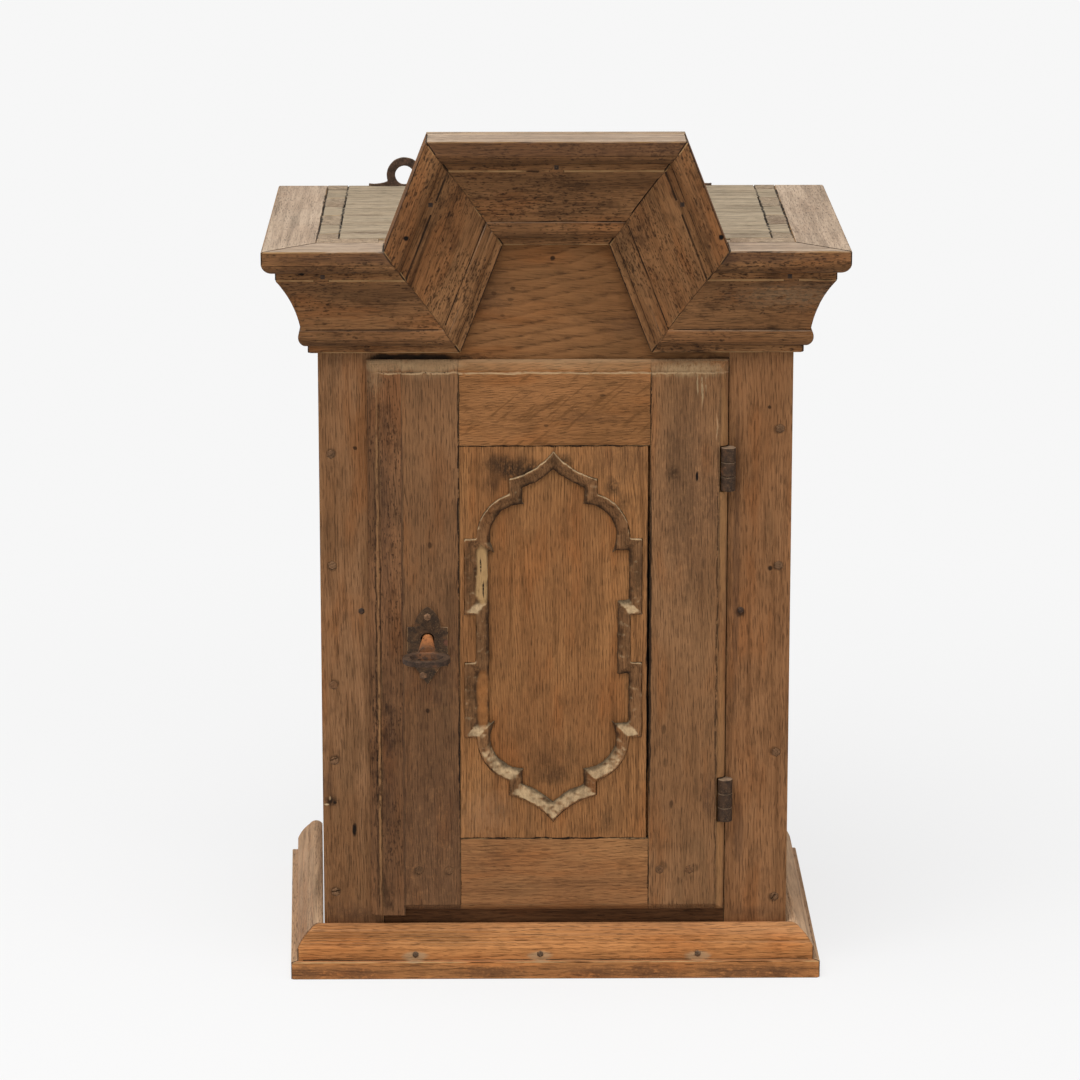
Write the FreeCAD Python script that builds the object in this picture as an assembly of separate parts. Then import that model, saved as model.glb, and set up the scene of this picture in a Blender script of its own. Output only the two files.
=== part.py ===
import FreeCAD, Part
import math
import os

# Old oak hanging cupboard: a dovetailed box behind a pegged face frame, one lipped door with a
# sunk cartouche panel, a cornice that breaks up into a trapezoid pediment, a moulded base and two
# iron hanging lugs. All sizes are millimetres. While the pieces are made, y = 0 is the front of the
# face frame, +Y runs back to the wall, x = 0 is the middle of the carcass and z = 0 is the floor.

V = FreeCAD.Vector

# Carcass
CARCASS_W = 450.0
CARCASS_D = 327.0
CARCASS_H = 719.5
BOARD_T = 20.0
BACK_T = 12.0
BACK_LAP = 10.0
BACK_BOARD_GAP = 1.0
BACK_BOARDS = ("left", "middle", "right")
BOTTOM_Z = 48.0
HOUSING = 8.0
TAILS = 3
PIN_W = 48.0
TAIL_SLOPE = 1.0 / 6.0

# Shelf on two battens
SHELF_T = 18.0
SHELF_Z = 352.7
SHELF_PLAY = 1.0
BATTEN_H = 22.0
BATTEN_T = 16.0
BATTEN_SETBACK = 30.0

# Face frame
FRAME_T = 22.0
STILE_LEFT_W = 58.0
STILE_RIGHT_W = 60.5
RAIL_BOTTOM = 8.0
OPENING_BOTTOM = 70.0
OPENING_DROP = 15.5
FRIEZE_T = 12.0
FRAME_TENON_L = 30.0
FRAME_TENON_T = 6.0
FRAME_TENON_SHOULDER = 14.0

# Cornice, as projection and height of each member of its profile, from the bottom up
CORNICE_FILLET_OUT = 9.0
CORNICE_FILLET_H = 7.5
BEAD_OUT = 17.5
BEAD_FOOT_OUT = 12.0
BEAD_H = 16.0
COVE_FOOT_OUT = 15.0
COVE_HEAD_OUT = 37.5
COVE_H = 51.0
COVE_SAG = 3.5
NECK_H = 7.5
CROWN_OUT = 50.0
CROWN_STEP = 2.5
CROWN_ROUND = 10.5
CROWN_FACE_H = 11.5
MITRE_GAP = 0.4
PEDIMENT_FOOT = 161.0
PEDIMENT_SHOULDER = 121.0
PEDIMENT_RISE = 103.0

# Base moulding
BASE_OUT = 31.6
BASE_FILLET_H = 17.4
BASE_STEP = 6.0
BASE_BAND_H = 12.0
BASE_NOSE_W = 13.0
BASE_NOSE_H = 3.5
BASE_HOLLOW_H = 16.0
BASE_HOLLOW_SAG = 1.5
BASE_SPRING_DEG = 2.2

# Door
DOOR_T = 22.0
DOOR_PROUD = 10.0
LIP_GAP = 0.5
LIP_LEFT = 12.0
LIP_TOP = 8.0
LIP_BOTTOM = 8.0
DOOR_PLAY = 2.0
HINGE_PLAY = 1.0
EDGE_STRIP_W = 33.0
EDGE_STRIP_DROP = 4.0
DOOR_STILE_LEFT_W = 54.0
DOOR_STILE_RIGHT_W = 73.5
DOOR_TOP_RAIL_W = 82.3
DOOR_BOTTOM_RAIL_W = 74.0
DOOR_TENON_L = 46.0
DOOR_TENON_T = 7.0
DOOR_TENON_SHOULDER = 16.0
THUMB_LEFT = 12.0
THUMB_TOP = 11.5
THUMB_RIGHT = 8.0
THUMB_BOTTOM = 6.5
THUMB_STEP = 1.5
THUMB_DROP = 5.0
THUMB_ROUND = 0.15

# Door panel and its cartouche moulding
PANEL_T = 15.0
PANEL_SET_IN = 0.5
PANEL_GAP = 0.4
PANEL_SHRINK = 2.6
GROOVE_D = 9.0
TONGUE_L = 7.0
TONGUE_T = 6.0
TONGUE_PLAY = 0.1
FIELD_DEPTH = 7.0
CARTOUCHE_TOP = 5.0
CARTOUCHE_FOOT = 16.5
CARTOUCHE_SIDE = 4.5
OGEE_H = 27.0
OGEE_SAG = 4.5
CUSP_H = 15.0
SHOULDER_W = 31.0
SHOULDER_H = 43.5
SHOULDER_SAG = 9.0
STEP_OUT = 12.0
STEP_IN = 11.0
MIDDLE_SHARE = 0.24
STAFF_W = 13.0
STAFF_PROUD = 2.0
STAFF_LAND = 2.0
STAFF_SLOPE = 6.0
STAFF_GAP = 0.2
STAFF_FIT = 0.15
STAFF_SPARE = 16.0
LATH_W = 10.0
LATH_T = 4.0

# Hinges
HINGE_H = 42.0
HINGE_R = 7.0
HINGE_STAND = 0.5
HINGE_FROM_TOP = 105.5
HINGE_FROM_BOTTOM = 112.0
HINGE_PIN_R = 2.5
HINGE_PIN_PLAY = 0.05
HINGE_CAP = 2.0
KNUCKLE_GAP = 0.4
BARREL_FLATS = 12
LEAF_T = 2.0
FRAME_LEAF_L = 20.0
DOOR_LEAF_L = 11.0
LEAF_HOLE = 0.55
HINGE_NOTCH = 1.5
HINGE_NAIL_L = 18.0

# Lock, bolt and key
KEY_FROM_EDGE = 56.3
KEY_Z = 336.5
KEYHOLE_R = 6.5
KEYHOLE_SLOT_W = 5.5
KEYHOLE_SLOT_DROP = 13.0
PLATE_T = 1.5
PLATE_W = 39.0
PLATE_SHOULDER_UP = 12.0
PLATE_SHOULDER_DOWN = 27.0
PLATE_TIP_UP = 32.0
PLATE_TIP_DOWN = 45.0
PLATE_DOME_W = 25.0
PLATE_NAIL_L = 13.0
PLATE_NAIL_ASIDE = 4.5
LOCK_W = 66.0
LOCK_H = 56.0
LOCK_D = 9.0
LOCK_WALL = 1.5
LOCK_FLANGE = 8.0
LOCK_BELOW_KEY = 30.0
BOLT_H = 12.0
BOLT_T = 4.5
BOLT_ABOVE_KEY = 8.0
BOLT_THROW = 10.0
BOLT_PLAY = 0.4
BOLT_TAIL = 62.0
STUMP_W = 2.8
BIT_REACH = 11.0
BIT_T = 3.5
BIT_L = 5.0
SHANK_R = 5.0
NECK_R = 8.5
NECK_FLATS = 12
KEY_TIP_R = 3.0
KEY_TIP_PLAY = 0.05
NECK_L = 54.0
BOW_W = 45.0
BOW_L = 38.0
BOW_T = 5.0
BOW_RIM = 7.0
SPRING_T = 0.8
SPRING_FROM_FRONT = 20.0

# Hanging lugs
LUG_LEFT_X = -148.0
LUG_RIGHT_X = 126.0
LUG_T = 3.0
LUG_EYE_R = 9.4
LUG_OUTER_R = 18.0
LUG_EYE_UP = 11.0
LUG_FOOT_W = 72.0
LUG_FOOT_UP = 2.5
LUG_DROP = 34.0
LUG_POINT = 22.0
LUG_WAIST_DEG = 20.0
LUG_NAIL_SPREAD = 21.5
LUG_NAIL_L = 36.0

# Nails and pegs; a nail's tip, crown and neck are shares of its own widths, and its bite is the
# share of the last board's thickness that it goes into
NAIL_HEAD = 7.0
NAIL_SHANK = 3.0
NAIL_PROUD = 1.0
NAIL_SINK = 1.5
NAIL_TIP = 0.4
NAIL_CROWN = 0.5
NAIL_NECK = 1.5
NAIL_BITE = 0.8
HEAD_FLATS = 6
SHANK_FLATS = 4
PEG_FLATS = 6
SMALL_NAIL = 0.6
PEG_D = 8.0
PEG_PROUD = 0.4
PEG_L = 44.0
PEG_INSET = 11.5
PEGS_LEFT = (79.0, 212.0, 288.0, 407.0, 516.0)
PEGS_RIGHT = (73.0, 219.5, 406.0, 540.0)
DOOR_PEGS = (11.0, 40.0)
SHELF_NAIL_FROM_EDGE = 13.0
BACK_NAIL_L = 30.0
RETURN_NAIL_NEAR = 63.0
RETURN_NAIL_FAR = 229.0
BASE_NAILS = (-136.0, -15.0, 138.0)

# Planes and lines that several pieces share
SIDE_X = CARCASS_W / 2
INNER_X = SIDE_X - BOARD_T
OPENING_LEFT = -SIDE_X + STILE_LEFT_W
OPENING_RIGHT = SIDE_X - STILE_RIGHT_W
CORNICE_H = CORNICE_FILLET_H + BEAD_H + COVE_H + NECK_H + CROWN_ROUND + CROWN_FACE_H
CORNICE_Z = CARCASS_H - CORNICE_H
OPENING_TOP = CORNICE_Z - OPENING_DROP
TOP_Z = CARCASS_H - BOARD_T
BACK_Y = CARCASS_D - BACK_T
DOOR_LEFT = OPENING_LEFT - LIP_LEFT
DOOR_RIGHT = OPENING_RIGHT - HINGE_PLAY
DOOR_BOTTOM = OPENING_BOTTOM - LIP_BOTTOM
DOOR_TOP = OPENING_TOP + LIP_TOP
STRIP_BOTTOM = DOOR_BOTTOM - EDGE_STRIP_DROP
DOOR_FRONT = -DOOR_PROUD
DOOR_BACK = DOOR_FRONT + DOOR_T
BODY_LEFT = OPENING_LEFT + DOOR_PLAY
BODY_BOTTOM = OPENING_BOTTOM + DOOR_PLAY
BODY_TOP = OPENING_TOP - DOOR_PLAY
LEFT_STILE_X = DOOR_LEFT + EDGE_STRIP_W
PANEL_LEFT = LEFT_STILE_X + DOOR_STILE_LEFT_W
PANEL_RIGHT = DOOR_RIGHT - DOOR_STILE_RIGHT_W
PANEL_BOTTOM = DOOR_BOTTOM + DOOR_BOTTOM_RAIL_W
PANEL_TOP = DOOR_TOP - DOOR_TOP_RAIL_W
GROOVE_Y = DOOR_FRONT + DOOR_T / 2 - TONGUE_T / 2
HINGE_X = OPENING_RIGHT - HINGE_PLAY / 2
HINGE_Y = -HINGE_R - HINGE_STAND
HINGE_HEIGHTS = {"upper": DOOR_TOP - HINGE_FROM_TOP, "lower": DOOR_BOTTOM + HINGE_FROM_BOTTOM}
KEY_X = DOOR_LEFT + KEY_FROM_EDGE
LOCK_LEFT = BODY_LEFT
LOCK_Z = KEY_Z - LOCK_BELOW_KEY
LOCK_BACK = DOOR_BACK + LOCK_D
BOLT_Y = DOOR_BACK + BOLT_PLAY
BOLT_Z = KEY_Z + BOLT_ABOVE_KEY
PLATE_FRONT = DOOR_FRONT - PLATE_T
BOW_BACK = PLATE_FRONT - NECK_L
BOW_FRONT = BOW_BACK - BOW_L
TO_MIDDLE = V(0, -(BOW_FRONT + CARCASS_D) / 2, 0)
FAR = 2000.0
OVERCUT = 1.0

FRONT = V(0, -1, 0)
BACK = V(0, 1, 0)
LEFT = V(-1, 0, 0)
RIGHT = V(1, 0, 0)
UP = V(0, 0, 1)

pieces = {}


def block(x0, x1, y0, y1, z0, z1):
    return Part.makeBox(x1 - x0, y1 - y0, z1 - z0, V(x0, y0, z0))


def outline(origin, across, along, legs):
    """A closed face in the plane of across and along. A leg is a point, or a middle and an end of an arc."""
    def spot(p):
        return origin + across * p[0] + along * p[1]
    here = spot(legs[0])
    edges = []
    for leg in legs[1:] + [legs[0]]:
        if isinstance(leg[0], tuple):
            middle = spot(leg[0])
            end = spot(leg[1])
            edges.append(Part.Arc(here, middle, end).toShape())
        else:
            end = spot(leg)
            if end.distanceToPoint(here) < 1e-6:
                continue
            edges.append(Part.LineSegment(here, end).toShape())
        here = end
    return Part.Face(Part.Wire(edges))


def arc_middle(start, end, sag):
    """The middle of an arc that bulges by sag to the left of the way from start to end."""
    dx = end[0] - start[0]
    dz = end[1] - start[1]
    chord = math.hypot(dx, dz)
    return ((start[0] + end[0]) / 2 - dz / chord * sag, (start[1] + end[1]) / 2 + dx / chord * sag)


def keep_beyond(shape, point, inward):
    """What is left of a shape on the inward side of a plane."""
    half = Part.makeBox(FAR, FAR, FAR, V(-FAR / 2, -FAR / 2, 0))
    half.Placement = FreeCAD.Placement(point, FreeCAD.Rotation(UP, inward))
    return shape.common(half)


def ring(sides, width, z):
    """The corners of an even-sided polygon, width across its flats, with a flat towards +X."""
    reach = width / 2 / math.cos(math.pi / sides)
    angles = [math.pi / sides * (1 + 2 * i) for i in range(sides)]
    return [V(reach * math.cos(a), reach * math.sin(a), z) for a in angles]


def taper(sides, low_w, low_z, high_w, high_z):
    """A straight-sided solid that goes from one polygon to a like one above it."""
    low = ring(sides, low_w, low_z)
    high = ring(sides, high_w, high_z)
    rings = [low[::-1], high]
    rings += [[low[i - 1], low[i], high[i], high[i - 1]] for i in range(sides)]
    faces = [Part.Face(Part.makePolygon(corners + corners[:1])) for corners in rings]
    return Part.Solid(Part.Shell(faces))


def nail(point, facing, length, size=1.0, flush=False):
    """A forged nail: a tapered square shank under a hammered head that looks along facing, or a square head
    sunk flush."""
    head_w = NAIL_HEAD * size
    shank_w = NAIL_SHANK * size
    proud = NAIL_PROUD * size
    sink = NAIL_SINK * size
    if flush:
        head = taper(SHANK_FLATS, shank_w * NAIL_NECK, -sink, head_w, 0)
        shank = taper(SHANK_FLATS, shank_w * NAIL_TIP, -length, shank_w, -sink)
    else:
        head = taper(HEAD_FLATS, head_w, 0, head_w * NAIL_CROWN, proud)
        shank = taper(SHANK_FLATS, shank_w * NAIL_TIP, -length, shank_w, 0)
    whole = head.fuse(shank)
    whole.Placement = FreeCAD.Placement(point, FreeCAD.Rotation(UP, facing))
    return whole


def peg(point, length):
    """A riven oak peg, six-sided, driven in from the front."""
    body = taper(PEG_FLATS, PEG_D, -length, PEG_D, PEG_PROUD)
    body.Placement = FreeCAD.Placement(point, FreeCAD.Rotation(UP, FRONT))
    return body


def drive(name, fasteners, through):
    """Put fasteners in one node, and make their holes in the pieces that they go through."""
    for fastener in fasteners:
        for piece in through:
            if pieces[piece].BoundBox.intersect(fastener.BoundBox):
                pieces[piece] = pieces[piece].cut(fastener)
    group = pieces[name].Solids if name in pieces else []
    pieces[name] = Part.makeCompound(group + fasteners)


# Top board, with tails on both ends that show from above
def pin_socket(side, y0, y1):
    """The wedge between two tails: narrow at the outer face and wider inside."""
    flare = BOARD_T * TAIL_SLOPE
    outer = SIDE_X * side
    inner = INNER_X * side
    front_flare = flare if y0 > FRAME_T else 0.0
    back_flare = flare if y1 < CARCASS_D else 0.0
    legs = [(outer, y0), (outer, y1), (inner, y1 + back_flare), (inner, y0 - front_flare)]
    return outline(V(0, 0, TOP_Z), RIGHT, BACK, legs).extrude(V(0, 0, BOARD_T))


top = block(-SIDE_X, SIDE_X, FRAME_T, CARCASS_D, TOP_Z, CARCASS_H)
tail_pitch = (CARCASS_D - FRAME_T) / TAILS
for side in (-1, 1):
    top = top.cut(pin_socket(side, FRAME_T, FRAME_T + PIN_W / 2))
    top = top.cut(pin_socket(side, CARCASS_D - PIN_W / 2, CARCASS_D))
    for i in range(1, TAILS):
        middle = FRAME_T + i * tail_pitch
        top = top.cut(pin_socket(side, middle - PIN_W / 2, middle + PIN_W / 2))
pieces["top_board"] = top

# Bottom board, housed in both sides
pieces["bottom_board"] = block(-INNER_X - HOUSING, INNER_X + HOUSING, FRAME_T, BACK_Y, BOTTOM_Z,
                               BOTTOM_Z + BOARD_T)

# Sides, with pins at the top, a housing for the bottom board and a rebate for the back
for name, side in (("side_left", -1), ("side_right", 1)):
    outer = SIDE_X * side
    inner = INNER_X * side
    lap = (SIDE_X - BACK_LAP) * side
    board = block(min(outer, inner), max(outer, inner), FRAME_T, CARCASS_D, 0, CARCASS_H)
    board = board.cut(block(min(lap, inner), max(lap, inner), BACK_Y, CARCASS_D, 0, TOP_Z))
    pieces[name] = board.cut([pieces["top_board"], pieces["bottom_board"]])

# Back boards, upright, nailed into the rebates and to the bottom board and the shelf
back_span = CARCASS_W - 2 * BACK_LAP
back_pitch = (back_span + BACK_BOARD_GAP) / len(BACK_BOARDS)
for i, name in enumerate(BACK_BOARDS):
    x0 = -back_span / 2 + i * back_pitch
    pieces["back_board_" + name] = block(x0, x0 + back_pitch - BACK_BOARD_GAP, BACK_Y, CARCASS_D, 0, TOP_Z)

# Shelf and the two battens that carry it; a thick door has the shelf notched for its lock
shelf_top = SHELF_Z + SHELF_T
shelf = block(-INNER_X + SHELF_PLAY, INNER_X - SHELF_PLAY, FRAME_T, BACK_Y - SHELF_PLAY, SHELF_Z, shelf_top)
lock_room = LOCK_BACK + SHELF_PLAY
if lock_room > FRAME_T:
    notch_x1 = LOCK_LEFT + LOCK_W + SHELF_PLAY
    shelf = shelf.cut(block(LOCK_LEFT - SHELF_PLAY, notch_x1, FRAME_T, lock_room, SHELF_Z, shelf_top))
pieces["shelf"] = shelf
for name, x0 in (("left", -INNER_X), ("right", INNER_X - BATTEN_T)):
    pieces["shelf_batten_" + name] = block(x0, x0 + BATTEN_T, FRAME_T + BATTEN_SETBACK, BACK_Y - BATTEN_SETBACK,
                                           SHELF_Z - BATTEN_H, SHELF_Z)

# Face frame: a frieze board and a bottom rail, tenoned between two stiles
frieze_legs = [(OPENING_LEFT, OPENING_TOP), (OPENING_RIGHT, OPENING_TOP), (OPENING_RIGHT, CARCASS_H),
               (PEDIMENT_FOOT, CARCASS_H), (PEDIMENT_SHOULDER, CARCASS_H + PEDIMENT_RISE),
               (-PEDIMENT_SHOULDER, CARCASS_H + PEDIMENT_RISE), (-PEDIMENT_FOOT, CARCASS_H),
               (OPENING_LEFT, CARCASS_H)]
frieze = outline(V(0, 0, 0), RIGHT, UP, frieze_legs).extrude(V(0, FRIEZE_T, 0))
rail = block(OPENING_LEFT, OPENING_RIGHT, 0, FRAME_T, RAIL_BOTTOM, OPENING_BOTTOM)


def with_tenons(board, x0, x1, y_middle, thick, length, z0, z1):
    left_tenon = block(x0 - length, x0, y_middle - thick / 2, y_middle + thick / 2, z0, z1)
    right_tenon = block(x1, x1 + length, y_middle - thick / 2, y_middle + thick / 2, z0, z1)
    return board.fuse([left_tenon, right_tenon]).removeSplitter()


pieces["frieze_board"] = with_tenons(frieze, OPENING_LEFT, OPENING_RIGHT, FRIEZE_T / 2, FRAME_TENON_T,
                                     FRAME_TENON_L, OPENING_TOP + FRAME_TENON_SHOULDER,
                                     CARCASS_H - FRAME_TENON_SHOULDER)
pieces["frame_bottom_rail"] = with_tenons(rail, OPENING_LEFT, OPENING_RIGHT, FRAME_T / 2, FRAME_TENON_T,
                                          FRAME_TENON_L, RAIL_BOTTOM + FRAME_TENON_SHOULDER,
                                          OPENING_BOTTOM - FRAME_TENON_SHOULDER)
mortise = block(OPENING_LEFT - BOLT_THROW - 2 * BOLT_PLAY, OPENING_LEFT, BOLT_Y - BOLT_PLAY,
                BOLT_Y + BOLT_T + BOLT_PLAY, BOLT_Z - 2 * BOLT_PLAY, BOLT_Z + BOLT_H + 2 * BOLT_PLAY)
stile_left = block(-SIDE_X, OPENING_LEFT, 0, FRAME_T, 0, CARCASS_H)
stile_right = block(OPENING_RIGHT, SIDE_X, 0, FRAME_T, 0, CARCASS_H)
tenoned = [pieces["frieze_board"], pieces["frame_bottom_rail"]]
pieces["frame_stile_left"] = stile_left.cut(tenoned + [mortise])
pieces["frame_stile_right"] = stile_right.cut(tenoned)

# Cornice: one profile, run along the front, up over the pediment and back along both sides
bead_z = CORNICE_FILLET_H
cove_z = bead_z + BEAD_H
neck_z = cove_z + COVE_H
crown_z = neck_z + NECK_H
cove_foot = (COVE_FOOT_OUT, cove_z)
cove_head = (COVE_HEAD_OUT, neck_z)
crown_foot = (COVE_HEAD_OUT + CROWN_STEP, crown_z)
crown_edge = (CROWN_OUT, crown_z + CROWN_ROUND)
cornice_profile = [
    (0, 0),
    (CORNICE_FILLET_OUT, 0),
    (CORNICE_FILLET_OUT, bead_z),
    (BEAD_FOOT_OUT, bead_z),
    ((BEAD_OUT, bead_z + BEAD_H / 2), cove_foot),
    (arc_middle(cove_foot, cove_head, COVE_SAG), cove_head),
    (COVE_HEAD_OUT, crown_z),
    crown_foot,
    (arc_middle(crown_foot, crown_edge, -CROWN_STEP), crown_edge),
    (CROWN_OUT, CORNICE_H),
    (0, CORNICE_H),
]


def run(profile, start, end, out, up, cuts):
    """A length of moulding from start to end, cut off at planes given as a point and a way to keep."""
    way = (end - start).normalize()
    body = outline(start - way * FAR / 4, out, up, profile).extrude(way * (FAR / 2 + (end - start).Length))
    for point, inward in cuts:
        body = keep_beyond(body, point + inward * MITRE_GAP / 2, inward)
    return body


pediment_z = CARCASS_H + PEDIMENT_RISE
crest = [V(-SIDE_X - CROWN_OUT, 0, CARCASS_H), V(-PEDIMENT_FOOT, 0, CARCASS_H),
         V(-PEDIMENT_SHOULDER, 0, pediment_z), V(PEDIMENT_SHOULDER, 0, pediment_z),
         V(PEDIMENT_FOOT, 0, CARCASS_H), V(SIDE_X + CROWN_OUT, 0, CARCASS_H)]
crest_names = ("front_left", "rake_left", "top", "rake_right", "front_right")
ways = [(b - a).normalize() for a, b in zip(crest, crest[1:])]
joins = [(a + b).normalize() for a, b in zip(ways, ways[1:])]
for i, name in enumerate(crest_names):
    square_up = V(-ways[i].z, 0, ways[i].x)
    if i == 0:
        begin = (V(-SIDE_X, 0, 0), V(1, -1, 0).normalize())
    else:
        begin = (crest[i], joins[i - 1])
    if i == len(crest_names) - 1:
        finish = (V(SIDE_X, 0, 0), V(-1, -1, 0).normalize())
    else:
        finish = (crest[i + 1], joins[i] * -1)
    low_start = crest[i] - square_up * CORNICE_H
    low_end = crest[i + 1] - square_up * CORNICE_H
    pieces["cornice_" + name] = run(cornice_profile, low_start, low_end, FRONT, square_up, [begin, finish])
for name, side in (("left", -1), ("right", 1)):
    corner = V(SIDE_X * side, 0, CORNICE_Z)
    mitre = (V(SIDE_X * side, 0, 0), V(side, 1, 0).normalize())
    cuts = [mitre, (V(0, CARCASS_D + MITRE_GAP / 2, 0), FRONT)]
    far_end = corner + BACK * CARCASS_D
    pieces["cornice_return_" + name] = run(cornice_profile, corner, far_end, RIGHT * side, UP, cuts)

# Base moulding: a front and two returns; the left return has sprung away from the side at the back
band_out = BASE_OUT - BASE_STEP
band_z = BASE_FILLET_H + BASE_BAND_H
nose_z = band_z + BASE_HOLLOW_H
hollow_foot = (band_out, band_z)
hollow_head = (BASE_NOSE_W, nose_z)
base_profile = [
    (0, 0),
    (BASE_OUT, 0),
    (BASE_OUT, BASE_FILLET_H),
    (band_out, BASE_FILLET_H),
    hollow_foot,
    (arc_middle(hollow_foot, hollow_head, -BASE_HOLLOW_SAG), hollow_head),
    ((BASE_NOSE_W / 2, nose_z + BASE_NOSE_H), (0, nose_z)),
]
front_cuts = [(V(-SIDE_X, 0, 0), V(1, -1, 0).normalize()), (V(SIDE_X, 0, 0), V(-1, -1, 0).normalize())]
pieces["base_front"] = run(base_profile, V(-SIDE_X, 0, 0), V(SIDE_X, 0, 0), FRONT, UP, front_cuts)
spring_pivot = V(-SIDE_X - BASE_OUT, -BASE_OUT, 0)
for name, side, swing in (("left", -1, BASE_SPRING_DEG), ("right", 1, 0)):
    corner = V(SIDE_X * side, 0, 0)
    mitre = (corner, V(side, 1, 0).normalize())
    strip = run(base_profile, corner, corner + BACK * CARCASS_D, RIGHT * side, UP, [mitre])
    strip.rotate(spring_pivot, UP, swing)
    pieces["base_return_" + name] = keep_beyond(strip, V(0, CARCASS_D, 0), FRONT)

# Door frame: edge strip, two stiles and two rails, with a thumb moulding all round and a lip on
# the left, top and bottom that covers the edge of the opening
door_outer = {
    "door_edge_strip": (DOOR_LEFT, LEFT_STILE_X, STRIP_BOTTOM, DOOR_TOP),
    "door_stile_left": (LEFT_STILE_X, PANEL_LEFT, DOOR_BOTTOM, DOOR_TOP),
    "door_stile_right": (PANEL_RIGHT, DOOR_RIGHT, DOOR_BOTTOM, DOOR_TOP),
    "door_top_rail": (PANEL_LEFT, PANEL_RIGHT, PANEL_TOP, DOOR_TOP),
    "door_bottom_rail": (PANEL_LEFT, PANEL_RIGHT, DOOR_BOTTOM, PANEL_BOTTOM),
}
lip_back = -LIP_GAP
behind_lip = [
    block(DOOR_LEFT, BODY_LEFT, lip_back, DOOR_BACK, STRIP_BOTTOM, DOOR_TOP),
    block(DOOR_LEFT, DOOR_RIGHT, lip_back, DOOR_BACK, BODY_TOP, DOOR_TOP),
    block(DOOR_LEFT, DOOR_RIGHT, lip_back, DOOR_BACK, STRIP_BOTTOM, BODY_BOTTOM),
]


def thumb_cutter(edge, inward, along, width, length):
    """The waste in front of a thumb moulding: a small step down, then a quarter round out to the edge."""
    step_y = THUMB_STEP
    edge_y = THUMB_STEP + THUMB_DROP
    bulge = arc_middle((width, step_y), (0, edge_y), width * THUMB_ROUND)
    legs = [(-OVERCUT, -OVERCUT), (width, -OVERCUT), (width, step_y), (bulge, (0, edge_y)), (-OVERCUT, edge_y)]
    return outline(edge, inward, BACK, legs).extrude(along * length)


door_w = DOOR_RIGHT - DOOR_LEFT
door_h = DOOR_TOP - STRIP_BOTTOM
thumbs = [
    thumb_cutter(V(DOOR_LEFT, DOOR_FRONT, STRIP_BOTTOM), RIGHT, UP, THUMB_LEFT, door_h),
    thumb_cutter(V(DOOR_RIGHT, DOOR_FRONT, STRIP_BOTTOM), LEFT, UP, THUMB_RIGHT, door_h),
    thumb_cutter(V(DOOR_LEFT, DOOR_FRONT, DOOR_TOP), UP * -1, RIGHT, THUMB_TOP, door_w),
    thumb_cutter(V(LEFT_STILE_X, DOOR_FRONT, DOOR_BOTTOM), UP, RIGHT, THUMB_BOTTOM, door_w - EDGE_STRIP_W),
]
for name, (x0, x1, z0, z1) in door_outer.items():
    member = block(x0, x1, DOOR_FRONT, DOOR_BACK, z0, z1)
    pieces[name] = member.cut(behind_lip + thumbs)
tenon_y = DOOR_FRONT + DOOR_T / 2
for name, z0, z1 in (("door_top_rail", PANEL_TOP, BODY_TOP), ("door_bottom_rail", BODY_BOTTOM, PANEL_BOTTOM)):
    pieces[name] = with_tenons(pieces[name], PANEL_LEFT, PANEL_RIGHT, tenon_y, DOOR_TENON_T, DOOR_TENON_L,
                               z0 + DOOR_TENON_SHOULDER, z1 - DOOR_TENON_SHOULDER)
groove = block(PANEL_LEFT - GROOVE_D, PANEL_RIGHT + GROOVE_D, GROOVE_Y, GROOVE_Y + TONGUE_T,
               PANEL_BOTTOM - GROOVE_D, PANEL_TOP + GROOVE_D)
rails = [pieces["door_top_rail"], pieces["door_bottom_rail"]]
for name in ("door_stile_left", "door_stile_right"):
    pieces[name] = pieces[name].cut(rails)
for name in ("door_stile_left", "door_stile_right", "door_top_rail", "door_bottom_rail"):
    pieces[name] = pieces[name].cut(groove)

# Door panel: flush with the frame round a sunk field, and shrunk away from the right stile
panel_front = DOOR_FRONT + PANEL_SET_IN
panel_right = PANEL_RIGHT - PANEL_SHRINK
panel = block(PANEL_LEFT + PANEL_GAP, panel_right, panel_front, panel_front + PANEL_T,
              PANEL_BOTTOM + PANEL_GAP, PANEL_TOP - PANEL_GAP)
tongue = block(PANEL_LEFT - TONGUE_L, PANEL_RIGHT + TONGUE_L - PANEL_SHRINK, GROOVE_Y + TONGUE_PLAY,
               GROOVE_Y + TONGUE_T - TONGUE_PLAY, PANEL_BOTTOM - TONGUE_L, PANEL_TOP + TONGUE_L)
panel = panel.fuse(tongue).removeSplitter()

# Cartouche round the field: mitred lengths of one small moulding let into the sunk edge. A quarter
# of its outer edge is set out from the top point, clockwise, and mirrored for the rest. Two short
# laths beside it on the left are an old repair
cartouche_x = (PANEL_LEFT + panel_right) / 2
cartouche_z = (PANEL_BOTTOM + CARTOUCHE_FOOT + PANEL_TOP - CARTOUCHE_TOP) / 2
half_w = (panel_right - PANEL_LEFT) / 2 - CARTOUCHE_SIDE
half_h = (PANEL_TOP - PANEL_BOTTOM - CARTOUCHE_TOP - CARTOUCHE_FOOT) / 2
straight_half = half_h - OGEE_H - CUSP_H - SHOULDER_H
ogee_w = half_w - STEP_OUT - SHOULDER_W
middle_half = straight_half * MIDDLE_SHARE
quarter = [
    ((0, half_h), (ogee_w, half_h - OGEE_H), -OGEE_SAG),
    ((ogee_w, half_h - OGEE_H), (ogee_w, half_h - OGEE_H - CUSP_H), 0),
    ((ogee_w, half_h - OGEE_H - CUSP_H), (half_w - STEP_OUT, straight_half), SHOULDER_SAG),
    ((half_w - STEP_OUT, straight_half), (half_w, straight_half), 0),
    ((half_w, straight_half), (half_w, middle_half), 0),
    ((half_w, middle_half), (half_w - STEP_IN, middle_half), 0),
]


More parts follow.
